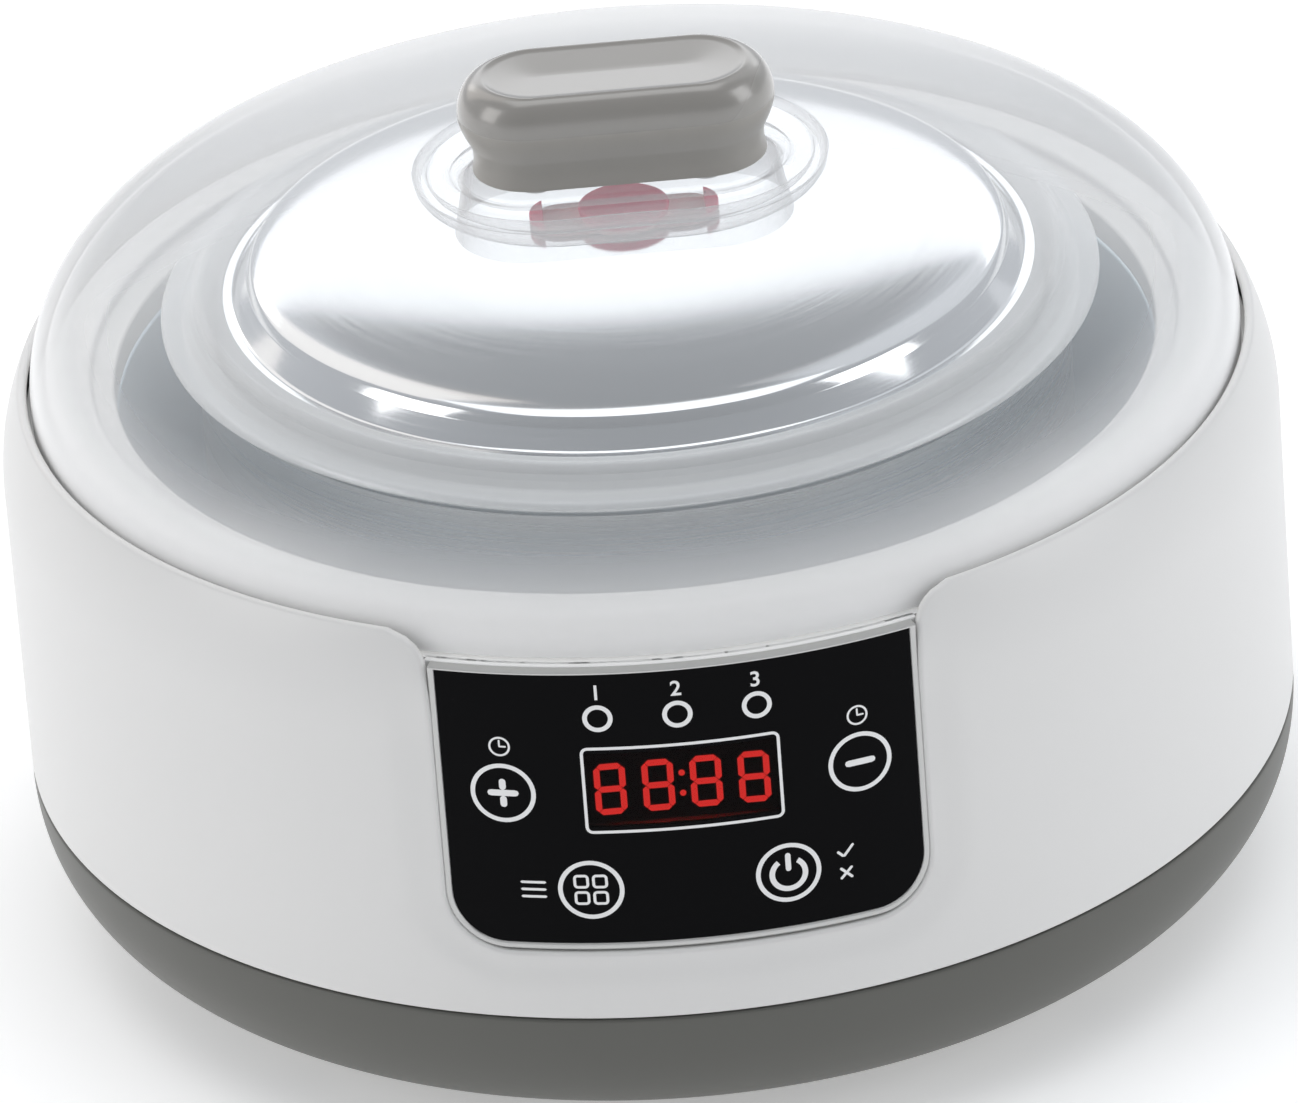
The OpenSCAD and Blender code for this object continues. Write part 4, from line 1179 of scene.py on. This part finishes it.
def box_mark(x, z, width, height, stroke, corner):
    def line(inset):
        w, h = width / 2 - inset, height / 2 - inset
        r = max(corner - inset, 0.1)
        return rounded([(x - w, z - h, r), (x + w, z - h, r), (x + w, z + h, r),
                        (x - w, z + h, r)], closed=True)
    return band(line(0), line(stroke))


def arc_mark(x, z, radius, stroke, start, end):
    outer = arc((x, z), radius, start, end, 40)
    inner = arc((x, z), radius - stroke, end, start, 40)
    mesh = bmesh.new()
    rings = [[mesh.verts.new((a, 0, b)) for a, b in line] for line in (outer, inner[::-1])]
    for i in range(1, len(outer)):
        mesh.faces.new((rings[0][i - 1], rings[0][i], rings[1][i], rings[1][i - 1]))
    return mesh


def numeral_mark(text, x, z, height):
    """A plain numeral, centred on x with its foot at z."""
    curve = bpy.data.curves.new("numeral", "FONT")
    curve.body = text
    curve.size = height / 0.7
    curve.align_x = "CENTER"
    curve.offset = 0.05
    holder = bpy.data.objects.new("numeral", curve)
    bpy.context.scene.collection.objects.link(holder)
    view = bpy.context.evaluated_depsgraph_get()
    data = bpy.data.meshes.new_from_object(holder.evaluated_get(view))
    mesh = bmesh.new()
    mesh.from_mesh(data)
    for vert in mesh.verts:
        vert.co = Vector((vert.co.x + x, 0, vert.co.y + z))
    bpy.data.objects.remove(holder)
    bpy.data.curves.remove(curve)
    bpy.data.meshes.remove(data)
    return mesh


def centre_of(node):
    """A node's middle as way round the panel and height, in millimetres."""
    low, high = corners_mm(node)
    return PANEL_R * math.asin((low.x + high.x) / 2 / PANEL_R), (low.z + high.z) / 2


def make_marks(material):
    up, down, menu, power = (centre_of(node) for node in (
        "time_up_key", "time_down_key", "function_key", "power_key"))
    lamps_low, lamps_high = corners_mm("program_lamps")
    lamp_z = (lamps_low.z + lamps_high.z) / 2
    lamp_x = (lamps_high.x - lamps_low.x) / 2 - (lamps_high.z - lamps_low.z) / 2
    window_z = centre_of("display_window")[1]
    stroke = 0.75
    parts = [ring_mark(x, z, 5.3, stroke) for x, z in (up, down, menu, power)]
    x, z = up
    parts += [bar_mark(x, z, 5.1, 1.1), bar_mark(x, z + 1.55, 2.0, 1.1, 90),
              bar_mark(x, z - 1.55, 2.0, 1.1, 90), bar_mark(*down, 5.1, 1.1)]
    x, z = menu
    for dx in (-1.5, 1.5):
        for dz in (-1.5, 1.5):
            parts.append(box_mark(x + dx, z + dz, 2.5, 2.5, 0.45, 0.7))
    x, z = power
    parts += [arc_mark(x, z - 0.2, 3.15, 0.9, 125, 415), bar_mark(x, z + 1.9, 3.3, 0.9, 90)]
    parts.append(box_mark(0, window_z, 31.7, 15.6, 0.5, 1.2))
    for number, x in enumerate((-lamp_x, 0, lamp_x), start=1):
        parts.append(ring_mark(x, lamp_z, 2.4, stroke))
        parts.append(numeral_mark(str(number), x, lamp_z + 3.4, 2.6))
    # small clocks over the two time keys
    for x, z in (up, down):
        clock_z = z + 8.4
        parts += [ring_mark(x, clock_z, 1.75, 0.34), bar_mark(x + 0.5, clock_z, 1.2, 0.3),
                  bar_mark(x, clock_z + 0.55, 1.35, 0.3, 90)]
    # list lines beside the menu key, tick and cross beside the power key
    x, z = menu
    for k in (-1, 0, 1):
        parts.append(bar_mark(x - 9.2, z + 1.3 * k, 4.2, 0.45))
    x, z = power[0] + 9.4, power[1]
    parts += [bar_mark(x - 0.8, z + 1.55, 1.5, 0.45, -45), bar_mark(x + 0.55, z + 2, 2.7, 0.45, 50),
              bar_mark(x, z - 2, 2.9, 0.45, 45), bar_mark(x, z - 2, 2.9, 0.45, -45)]
    mesh = join(parts)
    # strips narrow enough to bend
    for i in range(-19, 20):
        bmesh.ops.bisect_plane(mesh, geom=mesh.verts[:] + mesh.edges[:] + mesh.faces[:],
                               dist=1e-4, plane_co=(2.0 * i + 0.3, 0, 0), plane_no=(1, 0, 0))
    thicken(mesh, 0.05, 0.012)
    wrap(mesh, PANEL_R)
    return make_piece("printed_marks", mesh, "body", material)


# Stage


def view_axes(settings):
    """The camera's right, up and back directions."""
    turn, rise, roll = settings.azimuth, settings.elevation, settings.roll
    back = Vector((math.sin(turn) * math.cos(rise), -math.cos(turn) * math.cos(rise),
                   math.sin(rise)))
    right = Vector((math.cos(turn), math.sin(turn), 0))
    up = back.cross(right)
    return (right * math.cos(roll) - up * math.sin(roll),
            up * math.cos(roll) + right * math.sin(roll), back)


def add_camera(settings):
    right, up, back = view_axes(settings)
    aim = Vector((0, 0, 28 * MM)) - right * 2.17 * MM + up * 25.14 * MM
    data = bpy.data.cameras.new("camera")
    data.lens = settings.lens
    data.sensor_width = 36
    data.clip_end = 50
    camera = bpy.data.objects.new("camera", data)
    axes = Matrix((right, up, back)).transposed()
    camera.matrix_world = Matrix.Translation(aim + back * settings.distance) @ axes.to_4x4()
    bpy.context.scene.collection.objects.link(camera)
    bpy.context.scene.camera = camera


def add_softbox(name, place, aim, size, power, colour=(1, 1, 1)):
    data = bpy.data.lights.new(name, "AREA")
    data.shape = "RECTANGLE"
    data.size, data.size_y = size
    data.energy = power
    data.color = colour
    light = bpy.data.objects.new(name, data)
    light.location = place
    light.rotation_euler = (Vector(aim) - Vector(place)).to_track_quat("-Z", "Y").to_euler()
    # a view from behind a light looks through it
    light.visible_camera = False
    bpy.context.scene.collection.objects.link(light)


def add_floor():
    mesh = bmesh.new()
    bmesh.ops.create_grid(mesh, x_segments=1, y_segments=1, size=6)
    data = bpy.data.meshes.new("floor")
    mesh.to_mesh(data)
    mesh.free()
    finish = Finish("floor_paper", (0.9, 0.9, 0.9), 0.9, {
        "Emission Color": (1, 1, 1, 1), "Emission Strength": 0.34})
    drift = finish.noise(1.5)
    finish.set("Base Color", finish.mix(drift, (0.88, 0.88, 0.88, 1), (0.92, 0.92, 0.92, 1)))
    data.materials.append(finish.material)
    floor = bpy.data.objects.new("floor", data)
    bpy.context.scene.collection.objects.link(floor)


def add_world():
    world = bpy.data.worlds.new("studio")
    world.use_nodes = True
    nodes = Nodes(world.node_tree)
    sky = nodes.tree.nodes["Background"]
    sky.inputs["Color"].default_value = (0.88, 0.93, 1.0, 1)
    x, y, z = nodes.split(nodes.node("ShaderNodeTexCoord", output=0))

    def fall(value, start, end):
        """1 before start, 0 after end."""
        return ((end - value) / (end - start)).clamped()

    # a dark card high up behind the object, for its mirror image in the steel dome
    card = fall(x.math("ABSOLUTE"), 0.17, 0.24) * fall(z, 0.95, 0.98) * (1 - fall(z, 0.5, 0.54))
    card = card * (1 - fall(y, 0.0, 0.05))
    # the room is darker in front of the object than behind it
    plug(nodes.tree, sky.inputs["Strength"], (y * 0.2 + 0.42) * (1 - card * 0.5))
    bpy.context.scene.world = world


# Operators


class StageOperator(bpy.types.Operator):
    """Set up the floor, the lights and the camera"""

    bl_idname = "yogurt_maker.stage"
    bl_label = "Stage"

    def execute(self, context):
        add_world()
        add_floor()
        add_camera(context.scene.yogurt_stage)
        top = (0, 0, 0.08)
        add_softbox("top_light", (0, -0.15, 1.9), top, (1.7, 1.4), 11)
        add_softbox("left_light", (-1.95, -0.6, 0.8), top, (1.0, 1.3), 10, (1, 0.98, 0.96))
        add_softbox("right_light", (1.95, -0.6, 0.8), top, (1.0, 1.3), 10.5)
        add_softbox("back_light", (0, 1.85, 0.95), top, (3.0, 0.6), 7.5)
        add_softbox("back_left_light", (-1.1, 1.2, 1.3), top, (1.1, 2.0), 6, (1, 0.91, 0.82))
        add_softbox("back_right_light", (1.1, 1.2, 1.3), top, (1.1, 2.0), 2.2)
        context.scene.view_settings.view_transform = "Standard"
        return {"FINISHED"}


class CasingOperator(bpy.types.Operator):
    """Model the base, the shell and the deck"""

    bl_idname = "yogurt_maker.casing"
    bl_label = "Casing"

    def execute(self, context):
        sizes = context.scene.yogurt_body
        colours = context.scene.yogurt_colours
        white = moulded("satin_white", colours.shell, 0.36,
                        sockets={"Coat Weight": 0.12, "Coat Roughness": 0.3})
        grey = moulded("satin_grey", colours.base, 0.42)
        make_base(sizes, grey.material)
        make_shell(sizes, white.material)
        make_deck(moulded("deck_white", colours.deck, 0.36).material)
        return {"FINISHED"}


class VesselsOperator(bpy.types.Operator):
    """Model the heating bowl and the pot"""

    bl_idname = "yogurt_maker.vessels"
    bl_label = "Bowl and pot"

    def execute(self, context):
        colours = context.scene.yogurt_colours
        # the bowl's light blue colour is painted light and a painted reflection, standing in for
        # light through the lids
        make_bowl(turned_metal("spun_aluminium", colours.bowl, 0.42, 0.02, 0.55).material)
        make_pot(turned_metal("satin_steel", colours.steel, 0.28, 0.06).material)
        return {"FINISHED"}


class PotLidOperator(bpy.types.Operator):
    """Model the pot's lid and its vent plug"""

    bl_idname = "yogurt_maker.pot_lid"
    bl_label = "Pot lid"

    def execute(self, context):
        colours = context.scene.yogurt_colours
        make_pot_rim(frosted("milky_rim", colours.rim, 0.5, 0.3, 0.3).material)
        make_dome(turned_metal("bright_steel", colours.steel, 0.13, 0.04).material)
        make_plug(silicone("rose_silicone", colours.plug, colours.plate).material)
        return {"FINISHED"}


class OuterLidOperator(bpy.types.Operator):
    """Model the frosted outer lid and its grip"""

    bl_idname = "yogurt_maker.outer_lid"
    bl_label = "Outer lid"

    def execute(self, context):
        colours = context.scene.yogurt_colours
        lid = frosted("frosted_lid", colours.lid, 0.09, 0.22, 0.72, skirt=0.62)
        make_outer_lid(context.scene.yogurt_lid, lid.material)
        grip = moulded("grip_grey", colours.grip, 0.38)
        # painted shade: the cap is the grip's grey darkened by a share, set against the light that
        # its top catches
        shaded_cap_colour = tuple(part * 0.72 for part in colours.grip)
        cap = moulded("grip_satin_painted_shade", shaded_cap_colour, 0.28, grain=0.01, sockets={
            "Specular IOR Level": 0.9, "Coat Weight": 0.7, "Coat Roughness": 0.15})
        make_grip(grip.material, cap.material)
        return {"FINISHED"}


class PanelOperator(bpy.types.Operator):
    """Model the control panel and its printed marks"""

    bl_idname = "yogurt_maker.panel"
    bl_label = "Control panel"

    def execute(self, context):
        colours = context.scene.yogurt_colours
        silver = moulded("frame_silver", (0.55, 0.55, 0.54), 0.3, sockets={"Metallic": 0.5})
        make_panel_frame(silver.material)
        black = moulded("black_gloss", colours.panel, 0.1, grain=0.0,
                        sockets={"Specular IOR Level": 0.05})
        make_overlay(black.material)
        ink = moulded("white_ink", colours.ink, 0.5)
        make_marks(ink.material)
        lit = Finish("lit_digits", colours.digits, 0.4, {
            "Emission Color": (*colours.digits, 1), "Emission Strength": 26.0})
        dress("display_digits", lit.material)
        window = moulded("tinted_window", (0.002, 0.001, 0.001), 0.08, grain=0.0,
                         sockets={"Alpha": 0.85, "Specular IOR Level": 0.05})
        dress("display_window", window.material)
        return {"FINISHED"}


class InnerPartsOperator(bpy.types.Operator):
    """Finish the pieces inside the casing"""

    bl_idname = "yogurt_maker.inner_parts"
    bl_label = "Inner parts"

    def execute(self, context):
        finishes = {}
        pale = moulded("pale_steel", (0.86, 0.86, 0.86), 0.45, sockets={"Metallic": 0.3})
        slots = {entry["slot"]: entry for entry in frame["record"]["materials"]}
        for part in frame["record"]["subparts"]:
            slot = slots[part["material_slot"]]
            node = part["node"]
            if node in ("display_digits", "display_window"):
                continue
            if node == "handle_screws":
                dress(node, pale.material)
                frame["nodes"][node].visible_glossy = False
                continue
            if slot["slot"] not in finishes:
                metal = slot["class"] in ("brushed_steel", "brass", "aluminium", "chrome")
                finishes[slot["slot"]] = moulded(
                    "part_" + slot["slot"], tuple(slot["base_color"][:3]),
                    0.3 if metal else 0.5, sockets={"Metallic": 1.0 if metal else 0.0})
            dress(node, finishes[slot["slot"]].material)
        return {"FINISHED"}


class SidebarPanel(bpy.types.Panel):
    """Lists the steps that build the yogurt maker"""

    bl_idname = "VIEW3D_PT_yogurt_maker"
    bl_label = "Yogurt Maker"
    bl_space_type = "VIEW_3D"
    bl_region_type = "UI"
    bl_category = "Yogurt Maker"

    def draw(self, context):
        for step in STEPS:
            self.layout.operator(step.bl_idname)
        for name in GROUPS:
            settings = getattr(context.scene, name)
            box = self.layout.box()
            for key in settings.__annotations__:
                box.prop(settings, key)


STEPS = (StageOperator, CasingOperator, VesselsOperator, PotLidOperator, OuterLidOperator,
         PanelOperator, InnerPartsOperator)
GROUPS = {"yogurt_body": BodySizes, "yogurt_lid": LidSizes, "yogurt_colours": Colours,
          "yogurt_stage": StageSettings}


def register():
    for group in GROUPS.values():
        bpy.utils.register_class(group)
    for step in STEPS:
        bpy.utils.register_class(step)
    bpy.utils.register_class(SidebarPanel)
    for name, group in GROUPS.items():
        setattr(bpy.types.Scene, name, bpy.props.PointerProperty(type=group))


def unregister():
    for name in GROUPS:
        delattr(bpy.types.Scene, name)
    bpy.utils.unregister_class(SidebarPanel)
    for kind in (*STEPS, *GROUPS.values()):
        bpy.utils.unregister_class(kind)


def main():
    register()
    for step in STEPS:
        group, name = step.bl_idname.split(".")
        getattr(getattr(bpy.ops, group), name)()


if __name__ == "__main__":
    main()
